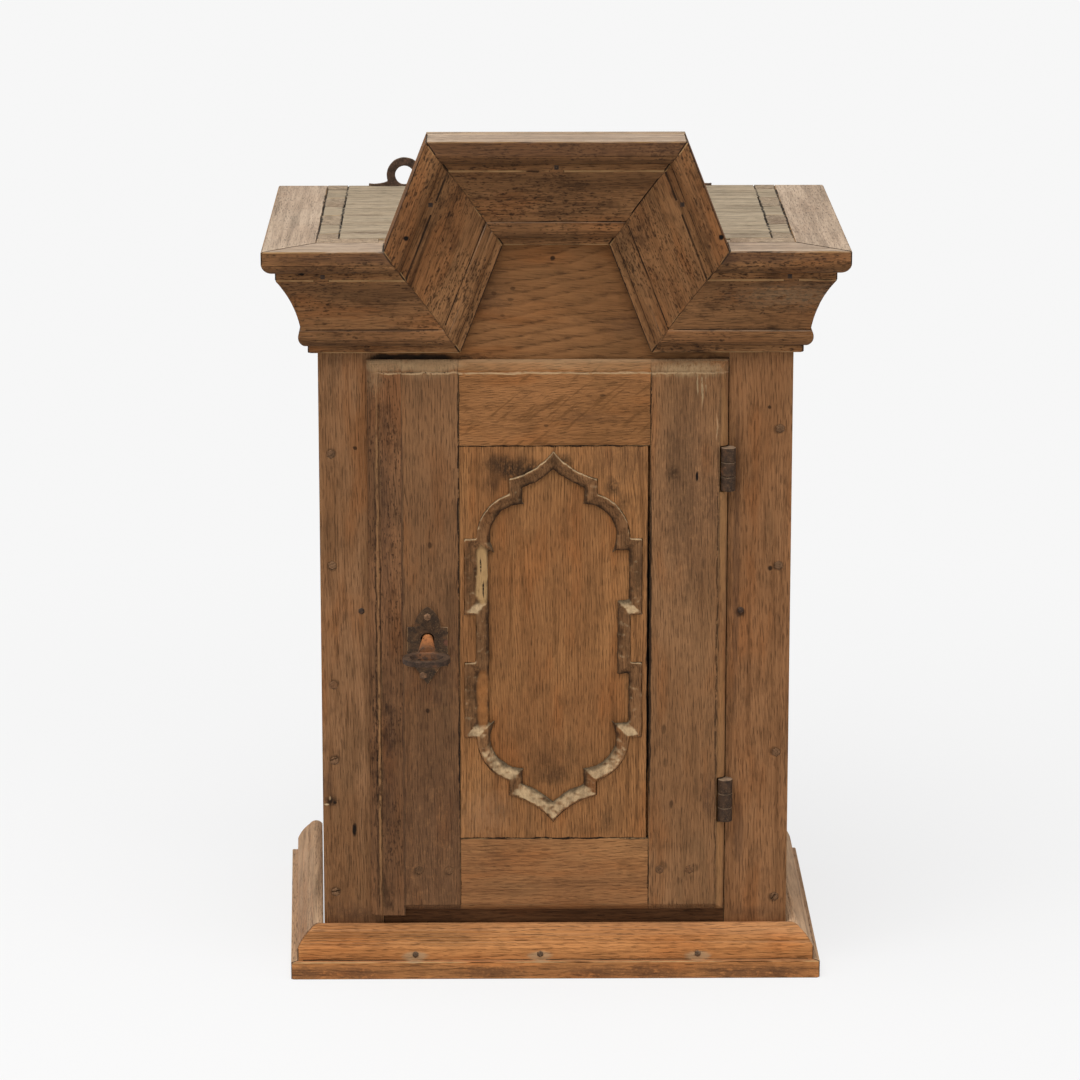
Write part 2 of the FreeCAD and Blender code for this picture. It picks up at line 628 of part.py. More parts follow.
def mirrored(legs, flip_x, flip_z):
    """The same legs mirrored, and walked the other way so that the path still runs clockwise."""
    sx = -1 if flip_x else 1
    sz = -1 if flip_z else 1
    flipped = [((a[0] * sx, a[1] * sz), (b[0] * sx, b[1] * sz), sag) for a, b, sag in legs]
    if flip_x == flip_z:
        return flipped
    return [(b, a, sag) for a, b, sag in reversed(flipped)]


def straight_between(before, after):
    return (before[-1][1], after[0][0], 0)


right_top = quarter
right_bottom = mirrored(quarter, False, True)
left_bottom = mirrored(quarter, True, True)
left_top = mirrored(quarter, True, False)
cartouche = right_top + [straight_between(right_top, right_bottom)] + right_bottom
cartouche += left_bottom + [straight_between(left_bottom, left_top)] + left_top


def heading(leg, at_end):
    """The way a leg runs at its start or end, as a direction in the plane of the door."""
    start, end, sag = leg
    chord = math.atan2(end[1] - start[1], end[0] - start[0])
    turn = 2 * math.atan2(2 * sag, math.dist(start, end))
    angle = chord - turn if at_end else chord + turn
    return V(math.cos(angle), 0, math.sin(angle))


def on_panel(p):
    return V(cartouche_x + p[0], 0, cartouche_z + p[1])


pocket_legs = [cartouche[0][0]]
for leg in cartouche:
    start, end, sag = leg
    pocket_legs.append((arc_middle(start, end, sag), end) if sag else end)
field_y = panel_front + FIELD_DEPTH
pocket = outline(V(cartouche_x, panel_front - OVERCUT, cartouche_z), RIGHT, UP, pocket_legs)
pieces["door_panel"] = panel.cut(pocket.extrude(V(0, FIELD_DEPTH + OVERCUT, 0)))

staff_top = panel_front - STAFF_PROUD
staff_inner = staff_top + STAFF_SLOPE
staff_profile = [(STAFF_FIT, field_y), (STAFF_FIT, staff_top), (STAFF_LAND, staff_top), (STAFF_W, staff_inner),
                 (STAFF_W, field_y)]


def staff(leg, before, after):
    """One mitred length of the cartouche moulding, straight or curved."""
    start, end, sag = leg
    way = heading(leg, False)
    inward = V(way.z, 0, -way.x)
    here = on_panel(start)
    there = on_panel(end)
    if sag:
        radius = (math.dist(start, end) ** 2 / 4 + sag ** 2) / (2 * abs(sag))
        spread = 4 * math.atan2(2 * abs(sag), math.dist(start, end))
        bend = 1 if sag > 0 else -1
        centre = here + inward * radius * bend
        overrun = STAFF_SPARE / (radius - STAFF_W if bend > 0 else radius)
        section = outline(here, inward, BACK, staff_profile)
        section.rotate(centre, BACK, -math.degrees(overrun) * bend)
        body = section.revolve(centre, BACK * bend, math.degrees(spread + 2 * overrun))
    else:
        section = outline(here - way * STAFF_SPARE, inward, BACK, staff_profile)
        body = section.extrude(way * (math.dist(start, end) + 2 * STAFF_SPARE))
    opening_mitre = (heading(before, True) + way).normalize()
    closing_mitre = (heading(leg, True) + heading(after, False)).normalize()
    body = keep_beyond(body, here + opening_mitre * STAFF_GAP / 2, opening_mitre)
    return keep_beyond(body, there - closing_mitre * STAFF_GAP / 2, closing_mitre * -1)


lengths = [staff(leg, cartouche[i - 1], cartouche[(i + 1) % len(cartouche)]) for i, leg in enumerate(cartouche)]
lath_x = cartouche_x - half_w + STAFF_W + STAFF_GAP
lath_low = middle_half + STAFF_W + STAFF_GAP
lath_high = straight_half - STAFF_W - STAFF_GAP
laths = [block(lath_x, lath_x + LATH_W, field_y - LATH_T, field_y, cartouche_z + z0, cartouche_z + z1)
         for z0, z1 in ((lath_low, lath_high), (-lath_high, -lath_low))]
pieces["panel_moulding"] = Part.makeCompound([solid for length in lengths for solid in length.Solids] + laths)

# Hinges: two three-knuckle butts, forged, so their barrels have many flats and are closed over the pins.
# The outer knuckles are the frame leaf's, the middle one the door's
knuckle_h = (HINGE_H - 2 * KNUCKLE_GAP) / 3
barrel_reach = HINGE_R / math.cos(math.pi / BARREL_FLATS)


def barrel(height, foot):
    body = taper(BARREL_FLATS, 2 * HINGE_R, 0, 2 * HINGE_R, height)
    body.translate(foot)
    return body


pins = []
for name, z_middle in HINGE_HEIGHTS.items():
    z0 = z_middle - HINGE_H / 2
    z1 = z_middle + HINGE_H / 2
    axis_foot = V(HINGE_X, HINGE_Y, z0)
    middle_z0 = z0 + knuckle_h + KNUCKLE_GAP
    outer_knuckles = barrel(HINGE_H, axis_foot)
    middle_knuckle = barrel(knuckle_h, V(HINGE_X, HINGE_Y, middle_z0))
    middle_space = Part.makeCylinder(barrel_reach + KNUCKLE_GAP, knuckle_h + 2 * KNUCKLE_GAP,
                                     V(HINGE_X, HINGE_Y, middle_z0 - KNUCKLE_GAP))
    outer_space = Part.makeCylinder(barrel_reach + KNUCKLE_GAP, HINGE_H, axis_foot)
    outer_space = outer_space.cut(Part.makeCylinder(FAR, knuckle_h, V(HINGE_X, HINGE_Y, middle_z0)))
    frame_plate = block(OPENING_RIGHT, OPENING_RIGHT + LEAF_T, HINGE_Y, FRAME_LEAF_L, z0, z1)
    door_plate = block(DOOR_RIGHT - LEAF_T, DOOR_RIGHT, HINGE_Y, DOOR_LEAF_L, z0, z1)
    pin_foot = axis_foot + UP * HINGE_CAP
    pin_l = HINGE_H - 2 * HINGE_CAP
    pin = Part.makeCylinder(HINGE_PIN_R, pin_l, pin_foot)
    pin_room = Part.makeCylinder(HINGE_PIN_R + HINGE_PIN_PLAY, pin_l, pin_foot)
    frame_leaf = outer_knuckles.fuse(frame_plate).cut([middle_space, pin_room])
    door_leaf = middle_knuckle.fuse(door_plate.cut(outer_space)).cut(pin_room)
    pieces["hinge_frame_leaf_" + name] = frame_leaf.removeSplitter()
    pieces["hinge_door_leaf_" + name] = door_leaf.removeSplitter()
    pins.append(pin)
    frame_gain = block(OPENING_RIGHT, OPENING_RIGHT + LEAF_T, 0, FRAME_LEAF_L, z0, z1)
    pieces["frame_stile_right"] = pieces["frame_stile_right"].cut(frame_gain)
    door_gain = block(DOOR_RIGHT - LEAF_T, DOOR_RIGHT, DOOR_FRONT, DOOR_LEAF_L, z0, z1)
    notch = block(HINGE_X - HINGE_R - HINGE_NOTCH, DOOR_RIGHT, DOOR_FRONT - OVERCUT,
                  HINGE_Y + HINGE_R + HINGE_NOTCH, z0 - HINGE_NOTCH, z1 + HINGE_NOTCH)
    pieces["door_stile_right"] = pieces["door_stile_right"].cut([door_gain, notch])
    for z in (z_middle - HINGE_H / 4, z_middle + HINGE_H / 4):
        frame_hole = V(OPENING_RIGHT, FRAME_LEAF_L * LEAF_HOLE, z)
        frame_nail = nail(frame_hole, LEFT, HINGE_NAIL_L, SMALL_NAIL, flush=True)
        drive("hinge_frame_nails", [frame_nail], ["hinge_frame_leaf_" + name, "frame_stile_right"])
        door_hole = V(DOOR_RIGHT, DOOR_LEAF_L * LEAF_HOLE, z)
        door_nail = nail(door_hole, RIGHT, HINGE_NAIL_L, SMALL_NAIL, flush=True)
        drive("hinge_door_nails", [door_nail], ["hinge_door_leaf_" + name, "door_stile_right"])
pieces["hinge_pins"] = Part.makeCompound(pins)

# Keyhole through the door stile and the plate: a round hole with a slot below for the bit
keyhole = Part.makeCylinder(KEYHOLE_R, DOOR_T + 2 * PLATE_T, V(KEY_X, PLATE_FRONT, KEY_Z), BACK)
slot = block(KEY_X - KEYHOLE_SLOT_W / 2, KEY_X + KEYHOLE_SLOT_W / 2, PLATE_FRONT, DOOR_BACK,
             KEY_Z - KEYHOLE_SLOT_DROP, KEY_Z)
pieces["door_stile_left"] = pieces["door_stile_left"].cut([keyhole, slot])

# Lock plate on the front of the door: a domed point above square shoulders, a pointed tail below
half_plate = PLATE_W / 2
half_dome = PLATE_DOME_W / 2
dome_foot = (-half_dome, PLATE_SHOULDER_UP)
tip_up = (0, PLATE_TIP_UP)
dome_sag = PLATE_DOME_W / 8
plate_legs = [
    (-half_plate, -PLATE_SHOULDER_DOWN),
    (-half_plate, PLATE_SHOULDER_UP),
    dome_foot,
    (arc_middle(dome_foot, tip_up, dome_sag), tip_up),
    (arc_middle(tip_up, (half_dome, PLATE_SHOULDER_UP), dome_sag), (half_dome, PLATE_SHOULDER_UP)),
    (half_plate, PLATE_SHOULDER_UP),
    (half_plate, -PLATE_SHOULDER_DOWN),
    (half_dome, -PLATE_SHOULDER_DOWN),
    (0, -PLATE_TIP_DOWN),
    (-half_dome, -PLATE_SHOULDER_DOWN),
]
plate = outline(V(KEY_X, PLATE_FRONT, KEY_Z), RIGHT, UP, plate_legs).extrude(V(0, PLATE_T, 0))
pieces["escutcheon"] = plate.cut([keyhole, slot])
plate_nail_up = (PLATE_TIP_UP + PLATE_SHOULDER_UP) / 2
plate_nail_down = (PLATE_TIP_DOWN + PLATE_SHOULDER_DOWN) / 2
plate_nails = [nail(V(KEY_X, PLATE_FRONT, KEY_Z + plate_nail_up), FRONT, PLATE_NAIL_L),
               nail(V(KEY_X - PLATE_NAIL_ASIDE, PLATE_FRONT, KEY_Z - plate_nail_down), FRONT, PLATE_NAIL_L)]
drive("escutcheon_nails", plate_nails, ["escutcheon", "door_stile_left"])

# Lock case nailed on the back of the door, with a stump that guides the bolt and a bearing for the key
lock_x1 = LOCK_LEFT + LOCK_W
lock_z1 = LOCK_Z + LOCK_H
bolt_y1 = BOLT_Y + BOLT_T
bolt_z1 = BOLT_Z + BOLT_H
case = block(LOCK_LEFT, lock_x1, DOOR_BACK, LOCK_BACK, LOCK_Z, lock_z1)
hollow = block(LOCK_LEFT + LOCK_WALL, lock_x1 - LOCK_WALL, DOOR_BACK, LOCK_BACK - LOCK_WALL,
               LOCK_Z + LOCK_WALL, lock_z1 - LOCK_WALL)
flange = block(LOCK_LEFT, lock_x1, DOOR_BACK, DOOR_BACK + LOCK_WALL, LOCK_Z - LOCK_FLANGE,
               lock_z1 + LOCK_FLANGE)
bolt_way = block(LOCK_LEFT, LOCK_LEFT + LOCK_WALL, DOOR_BACK, bolt_y1 + BOLT_PLAY, BOLT_Z - BOLT_PLAY,
                 bolt_z1 + BOLT_PLAY)
bearing_front = V(KEY_X, LOCK_BACK - LOCK_WALL, KEY_Z)
key_bearing = Part.makeCylinder(KEY_TIP_R + KEY_TIP_PLAY, LOCK_WALL, bearing_front, BACK)
stump_x = LOCK_LEFT + LOCK_WALL + BOLT_THROW + STUMP_W
stump_z = BOLT_Z + BOLT_H / 2
stump = block(stump_x - STUMP_W / 2, stump_x + STUMP_W / 2, BOLT_Y, LOCK_BACK - LOCK_WALL,
              stump_z - STUMP_W / 2, stump_z + STUMP_W / 2)
shell = case.fuse(flange).cut([hollow, bolt_way, key_bearing])
pieces["lock_case"] = shell.fuse(stump).removeSplitter()
lock_nails = []
for x in (LOCK_LEFT + LOCK_FLANGE, lock_x1 - LOCK_FLANGE):
    for z in (LOCK_Z - LOCK_FLANGE / 2, lock_z1 + LOCK_FLANGE / 2):
        lock_nails.append(nail(V(x, DOOR_BACK + LOCK_WALL, z), BACK, PLATE_NAIL_L, SMALL_NAIL, flush=True))
drive("lock_nails", lock_nails, ["lock_case", "door_stile_left", "door_edge_strip"])

# Bolt, drawn back at rest: a talon notch below for the key's bit and a slot that rides on the stump
talon_left = KEY_X - BIT_REACH + BOLT_THROW / 2 - BIT_T
talon_right = KEY_X + BIT_REACH + BIT_T
bolt = block(LOCK_LEFT, LOCK_LEFT + BOLT_TAIL, BOLT_Y, bolt_y1, BOLT_Z, bolt_z1)
talon = block(talon_left, talon_right, BOLT_Y, bolt_y1, BOLT_Z, KEY_Z + BIT_REACH + 2 * BOLT_PLAY)
stump_room = STUMP_W / 2 + BOLT_PLAY
stump_way = block(stump_x - stump_room, stump_x + stump_room + BOLT_THROW, BOLT_Y, bolt_y1,
                  stump_z - stump_room, stump_z + stump_room)
pieces["lock_bolt"] = bolt.cut([talon, stump_way])

# Leaf spring sprung between the top of the case and the bolt
spring_top = lock_z1 - LOCK_WALL
spring_low = bolt_z1 + BOLT_PLAY
spring_left = LOCK_LEFT + SPRING_FROM_FRONT
spring_right = lock_x1 - LOCK_WALL - SPRING_T
spring_middle = (spring_left + spring_right) / 2
spring_legs = [
    (spring_left, spring_top),
    (spring_middle, spring_low),
    (spring_right, spring_top),
    (spring_right - SPRING_T * 2, spring_top),
    (spring_middle, spring_low + SPRING_T),
    (spring_left + SPRING_T * 2, spring_top),
]
spring_face = outline(V(0, BOLT_Y, 0), RIGHT, UP, spring_legs)
pieces["lock_spring"] = spring_face.extrude(V(0, BOLT_T, 0))

# Key left in the lock: a round shank, a filed neck that swells towards the oval bow, which lies flat,
# and a bit inside the lock
neck = taper(NECK_FLATS, 2 * SHANK_R, 0, 2 * NECK_R, NECK_L + BOW_RIM / 2)
neck.Placement = FreeCAD.Placement(V(KEY_X, PLATE_FRONT, KEY_Z), FreeCAD.Rotation(UP, FRONT))
shank_end = LOCK_BACK - LOCK_WALL - BOLT_PLAY
shank_legs = [
    (0, PLATE_FRONT),
    (SHANK_R, PLATE_FRONT),
    (SHANK_R, shank_end),
    (KEY_TIP_R, shank_end),
    (KEY_TIP_R, LOCK_BACK),
    (0, LOCK_BACK),
]
shank = outline(V(KEY_X, 0, KEY_Z), RIGHT, BACK, shank_legs).revolve(V(KEY_X, 0, KEY_Z), BACK, 360)
bit_y = BOLT_Y + BOLT_PLAY
bit = block(KEY_X + SHANK_R / 2, KEY_X + BIT_REACH, bit_y, bit_y + BIT_L, KEY_Z - BIT_T / 2, KEY_Z + BIT_T / 2)
bow_middle = V(KEY_X, (BOW_BACK + BOW_FRONT) / 2, KEY_Z - BOW_T / 2)


def oval(width, length):
    """A flat oval with round ends, wider than it is long."""
    half = length / 2
    flat = (width - length) / 2
    legs = [(-flat, -half), (flat, -half), ((width / 2, 0), (flat, half)), (-flat, half),
            ((-width / 2, 0), (-flat, -half))]
    return outline(bow_middle, RIGHT, BACK, legs).extrude(V(0, 0, BOW_T))


bow = oval(BOW_W, BOW_L).cut(oval(BOW_W - 2 * BOW_RIM, BOW_L - 2 * BOW_RIM))
pieces["key"] = shank.fuse([neck, bit, bow]).removeSplitter()

# Hanging lugs let in flush at the top of the back: an eye on ogee shoulders over a pointed tail
half_foot = LUG_FOOT_W / 2
for name, x in (("left", LUG_LEFT_X), ("right", LUG_RIGHT_X)):
    foot_z = LUG_FOOT_UP
    eye_z = LUG_EYE_UP
    waist_angle = math.radians(LUG_WAIST_DEG)
    waist = (LUG_OUTER_R * math.cos(waist_angle), eye_z - LUG_OUTER_R * math.sin(waist_angle))
    left_waist = (-waist[0], waist[1])
    left_foot = (-half_foot, foot_z)
    right_foot = (half_foot, foot_z)
    lug_legs = [
        left_foot,
        (arc_middle(left_foot, left_waist, -LUG_FOOT_UP / 2), left_waist),
        ((0, eye_z + LUG_OUTER_R), waist),
        (arc_middle(waist, right_foot, -LUG_FOOT_UP / 2), right_foot),
        (half_foot, -LUG_DROP),
        (0, -LUG_DROP - LUG_POINT),
        (-half_foot, -LUG_DROP),
    ]
    lug = outline(V(x, CARCASS_D - LUG_T, CARCASS_H), RIGHT, UP, lug_legs).extrude(V(0, LUG_T, 0))
    eye = Part.makeCylinder(LUG_EYE_R, LUG_T, V(x, CARCASS_D - LUG_T, CARCASS_H + eye_z), BACK)
    pieces["hanging_lug_" + name] = lug.cut(eye)
    behind = ["top_board"] + ["back_board_" + board for board in BACK_BOARDS]
    for piece in behind:
        pieces[piece] = pieces[piece].cut(lug)
    lug_nails = [nail(V(x + dx, CARCASS_D, TOP_Z + BOARD_T / 2), BACK, LUG_NAIL_L, flush=True)
                 for dx in (-LUG_NAIL_SPREAD, LUG_NAIL_SPREAD)]
    drive("lug_nails", lug_nails, ["hanging_lug_" + name] + behind)

# Pegs through the face frame into the sides, and nails through it into the front of the shelf
frame_pegs = [peg(V(-SIDE_X + PEG_INSET, 0, z), PEG_L) for z in PEGS_LEFT]
frame_pegs += [peg(V(SIDE_X - PEG_INSET, 0, z), PEG_L) for z in PEGS_RIGHT]
drive("frame_pegs", frame_pegs, ["frame_stile_left", "frame_stile_right", "side_left", "side_right"])
shelf_nails = [nail(V(x, 0, SHELF_Z + SHELF_T / 2), FRONT, FRAME_T * 2) for x in
               (DOOR_LEFT - NAIL_HEAD, OPENING_RIGHT + SHELF_NAIL_FROM_EDGE)]
drive("shelf_nails", shelf_nails, ["frame_stile_left", "frame_stile_right", "shelf"])

# Pegs that draw the door's bottom tenons up
peg_z = (BODY_BOTTOM + PANEL_BOTTOM) / 2
door_pegs = [peg(V(PANEL_LEFT - from_shoulder, DOOR_FRONT, peg_z), DOOR_T) for from_shoulder in DOOR_PEGS]
door_pegs += [peg(V(PANEL_RIGHT + from_shoulder, DOOR_FRONT, peg_z), DOOR_T) for from_shoulder in DOOR_PEGS]
drive("door_pegs", door_pegs, ["door_stile_left", "door_stile_right", "door_bottom_rail"])

# Nails in the base moulding and in the cornice
band_nail_z = BASE_FILLET_H + BASE_BAND_H / 2
base_nails = [nail(V(x, -band_out, band_nail_z), FRONT, band_out + FRAME_T * NAIL_BITE) for x in BASE_NAILS]
return_nail_l = band_out + BOARD_T * NAIL_BITE
base_nails.append(nail(V(SIDE_X + band_out, RETURN_NAIL_FAR, band_nail_z), RIGHT, return_nail_l))
for side, swing in ((-1, BASE_SPRING_DEG), (1, 0)):
    at = V((SIDE_X + band_out) * side, RETURN_NAIL_NEAR, band_nail_z)
    return_nail = nail(at, RIGHT * side, return_nail_l)
    return_nail.rotate(spring_pivot, UP, swing)
    base_nails.append(return_nail)
base_through = ["base_front", "base_return_left", "base_return_right", "frame_stile_left", "frame_stile_right",
                "frame_bottom_rail", "side_left", "side_right"]
drive("base_nails", base_nails, base_through)
neck_middle = neck_z + NECK_H / 2
cornice_nails = []
for i, name in enumerate(crest_names):
    square_up = V(-ways[i].z, 0, ways[i].x)
    middle = (crest[i] + crest[i + 1]) / 2
    at = middle - square_up * (CORNICE_H - neck_middle) - BACK * COVE_HEAD_OUT
    cornice_nails.append(nail(at, FRONT, COVE_HEAD_OUT + FRIEZE_T * NAIL_BITE, SMALL_NAIL, flush=True))
for side in (-1, 1):
    at = V((SIDE_X + COVE_HEAD_OUT) * side, CARCASS_D / 2, CORNICE_Z + neck_middle)
    cornice_nails.append(nail(at, RIGHT * side, COVE_HEAD_OUT + BOARD_T * NAIL_BITE, SMALL_NAIL, flush=True))
cornice_through = ["cornice_" + name for name in crest_names]
cornice_through += ["cornice_return_left", "cornice_return_right", "frieze_board", "frame_stile_left",
                    "frame_stile_right", "side_left", "side_right", "top_board"]
drive("cornice_nails", cornice_nails, cornice_through)

# Nails that hold the back boards and the battens
back_nails = []
for i in range(len(BACK_BOARDS)):
    x_middle = -back_span / 2 + (i + 0.5) * back_pitch
    for z in (BOTTOM_Z + BOARD_T / 2, SHELF_Z + SHELF_T / 2):
        back_nails.append(nail(V(x_middle, CARCASS_D, z), BACK, BACK_NAIL_L, flush=True))
drive("back_nails", back_nails, ["back_board_" + name for name in BACK_BOARDS] + ["bottom_board", "shelf"])
batten_nails = []
for x, facing in ((-INNER_X + BATTEN_T, RIGHT), (INNER_X - BATTEN_T, LEFT)):
    for y in (FRAME_T + 2 * BATTEN_SETBACK, BACK_Y - 2 * BATTEN_SETBACK):
        at = V(x, y, SHELF_Z - BATTEN_H / 2)
        batten_nails.append(nail(at, facing, BATTEN_T + BOARD_T * NAIL_BITE, flush=True))
drive("batten_nails", batten_nails, ["shelf_batten_left", "shelf_batten_right", "side_left", "side_right"])

os.makedirs("parts", exist_ok=True)
for name, shape in pieces.items():
    placed = shape.copy()
    placed.translate(TO_MIDDLE)
    placed.exportStep("parts/%s.step" % name)
    print(name, len(placed.Solids), "%.0f mm3" % placed.Volume, placed.isValid())
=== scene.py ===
import math
import bmesh
import bpy
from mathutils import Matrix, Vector
from mathutils.bvhtree import BVHTree


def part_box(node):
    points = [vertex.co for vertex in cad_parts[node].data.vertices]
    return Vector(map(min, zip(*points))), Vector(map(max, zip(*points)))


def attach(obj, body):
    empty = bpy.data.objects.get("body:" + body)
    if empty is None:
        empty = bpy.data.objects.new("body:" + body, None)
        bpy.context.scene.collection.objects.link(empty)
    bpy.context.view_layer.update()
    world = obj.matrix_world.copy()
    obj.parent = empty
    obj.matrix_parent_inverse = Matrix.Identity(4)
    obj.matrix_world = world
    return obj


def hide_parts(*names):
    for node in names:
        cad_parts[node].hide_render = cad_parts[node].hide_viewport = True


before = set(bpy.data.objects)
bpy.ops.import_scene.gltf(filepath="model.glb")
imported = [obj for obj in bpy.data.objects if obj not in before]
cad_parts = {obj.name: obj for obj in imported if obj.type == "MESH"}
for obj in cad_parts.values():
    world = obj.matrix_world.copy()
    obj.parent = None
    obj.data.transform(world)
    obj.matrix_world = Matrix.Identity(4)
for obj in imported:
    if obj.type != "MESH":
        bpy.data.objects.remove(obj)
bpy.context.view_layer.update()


# Sides, top and bottom of the box: riven oak boards about 20 mm thick, planed by hand. The sides are
# dovetailed into the top, and the bottom is housed in them; two centuries have rounded every arris.
class Field:
    """Something that varies over a surface: a socket in a finish, so that sums on it are Python sums."""

    def __init__(self, socket):
        self.socket = socket

    def node(self, kind, settings, inputs, output=0):
        """Any node: its settings first, then the values or links of its sockets."""
        tree = self.socket.id_data
        made = tree.nodes.new(kind)
        for key, value in settings.items():
            if key == "stops":
                ramp = made.color_ramp.elements
                while len(ramp) < len(value):
                    ramp.new(0.5)
                for element, (spot, level) in zip(ramp, value):
                    element.position = spot
                    element.color = (level, level, level, 1)
            else:
                setattr(made, key, value)
        for key, value in inputs.items():
            if isinstance(value, Field):
                tree.links.new(value.socket, made.inputs[key])
            else:
                made.inputs[key].default_value = value
        return Field(made.outputs[output])

    def sum(self, operation, first, second):
        return self.node("ShaderNodeMath", {"operation": operation}, {0: first, 1: second})

    def __add__(self, other):
        return self.sum("ADD", self, other)

    def __radd__(self, other):
        return self.sum("ADD", other, self)

    def __sub__(self, other):
        return self.sum("SUBTRACT", self, other)

    def __rsub__(self, other):
        return self.sum("SUBTRACT", other, self)

    def __mul__(self, other):
        return self.sum("MULTIPLY", self, other)

    def __rmul__(self, other):
        return self.sum("MULTIPLY", other, self)

    def __pow__(self, other):
        return self.sum("POWER", self, other)

    def least(self, other):
        return self.sum("MINIMUM", self, other)

    def step(self, low, high):
        """0 below low and 1 above high, with a soft rise between; the other way round if low is larger."""
        return self.node("ShaderNodeMapRange", {"interpolation_type": "SMOOTHSTEP"},
                         {"Value": self, "From Min": low, "From Max": high})

    def vector(self, operation, *others, output=0):
        return self.node("ShaderNodeVectorMath", {"operation": operation},
                         dict(enumerate((self,) + others)), output)

    def noise(self, across, along, detail=2.0, rough=0.5, output=0):
        """Noise in a board's own millimetres: so many waves per millimetre across and along the grain."""
        return self.node("ShaderNodeTexNoise", {},
                         {"Vector": self.vector("MULTIPLY", (across, across, along)), "Scale": 1.0,
                          "Detail": detail, "Roughness": rough}, output)

    def part(self, axis):
        return self.node("ShaderNodeSeparateXYZ", {}, {0: self}, axis)

    def blend(self, low, high):
        """A colour between two, by this share."""
        return self.node("ShaderNodeMix", {"data_type": "RGBA"}, {0: self, 6: low, 7: high}, 2)


PER_METRE = 1000
MM = 0.001


def tone(red, green, blue):
    """A colour as the eye reads it, turned into the even scale that a shader takes."""
    def even(share):
        return share / 12.92 if share <= 0.04045 else ((share + 0.055) / 1.055) ** 2.4

    return (even(red), even(green), even(blue), 1)


def tinted(colour, red, green, blue):
    return (colour[0] * red, colour[1] * green, colour[2] * blue, 1)


def start_finish(name):
    """A new finish: its shader, the place on the piece in metres and the way the surface faces."""
    finish = bpy.data.materials.new(name)
    finish.use_nodes = True
    shader = finish.node_tree.nodes["Principled BSDF"]
    spot = finish.node_tree.nodes.new("ShaderNodeTexCoord")
    return finish, shader, Field(spot.outputs["Object"]), Field(spot.outputs["Normal"])


def feed(shader, socket, field):
    shader.id_data.links.new(field.socket, shader.inputs[socket])


CLOUD_OVER = 6.5
CRACK_UNDER = 1.5


def stained(body, place, ragged, marks):
    """Lays marks over a colour. Each has a middle and three half sizes in millimetres, a strength and a
    colour. Its least half size says what it is: a cloud, which is broken up, a crack, which comes and goes,
    or a spot between the two."""
    for middle, half, strength, stain in marks:
        scale = tuple(PER_METRE / h for h in half)
        start = tuple(-c / h for c, h in zip(middle, half))
        reach = place.vector("MULTIPLY_ADD", scale, start).vector("LENGTH", output=1)
        if min(half) > CLOUD_OVER:
            cover = (reach + (ragged - 0.5) * 2.4).step(1.35, 0.25) * ragged.step(0.27, 0.55)
        elif min(half) < CRACK_UNDER:
            cover = (reach + (ragged - 0.5) * 0.9).step(1.2, 0.5) * ragged.step(0.34, 0.50)
        else:
            cover = (reach + (ragged - 0.5) * 0.5).step(1.1, 0.6)
        body = (cover * strength).blend(body, stain)
    return body


def leaning(degrees):
    """The turn of an upright board's grain towards the right, so many degrees."""
    return (0, -math.radians(degrees), 0)


UPRIGHT = leaning(0)
LEVEL = leaning(90)
DUST = tone(0.69, 0.62, 0.525)
# Pale tone of worn arrises, partly painted highlight
RUBBED_HIGHLIGHT = tone(0.70, 0.58, 0.41)
# A near black for soot, worm holes and dark joints, also used for painted shade and painted shadow.
SOOT_AND_SHADE = tone(0.10, 0.068, 0.042)
CRACK = tone(0.07, 0.05, 0.035)
PLUM = tone(0.27, 0.185, 0.135)

# The two marks that a bevel's faces carry: worn bare with painted highlight, and grimy with painted shade
BARE = 1.0
GRIMY_AND_SHADED = 3.0


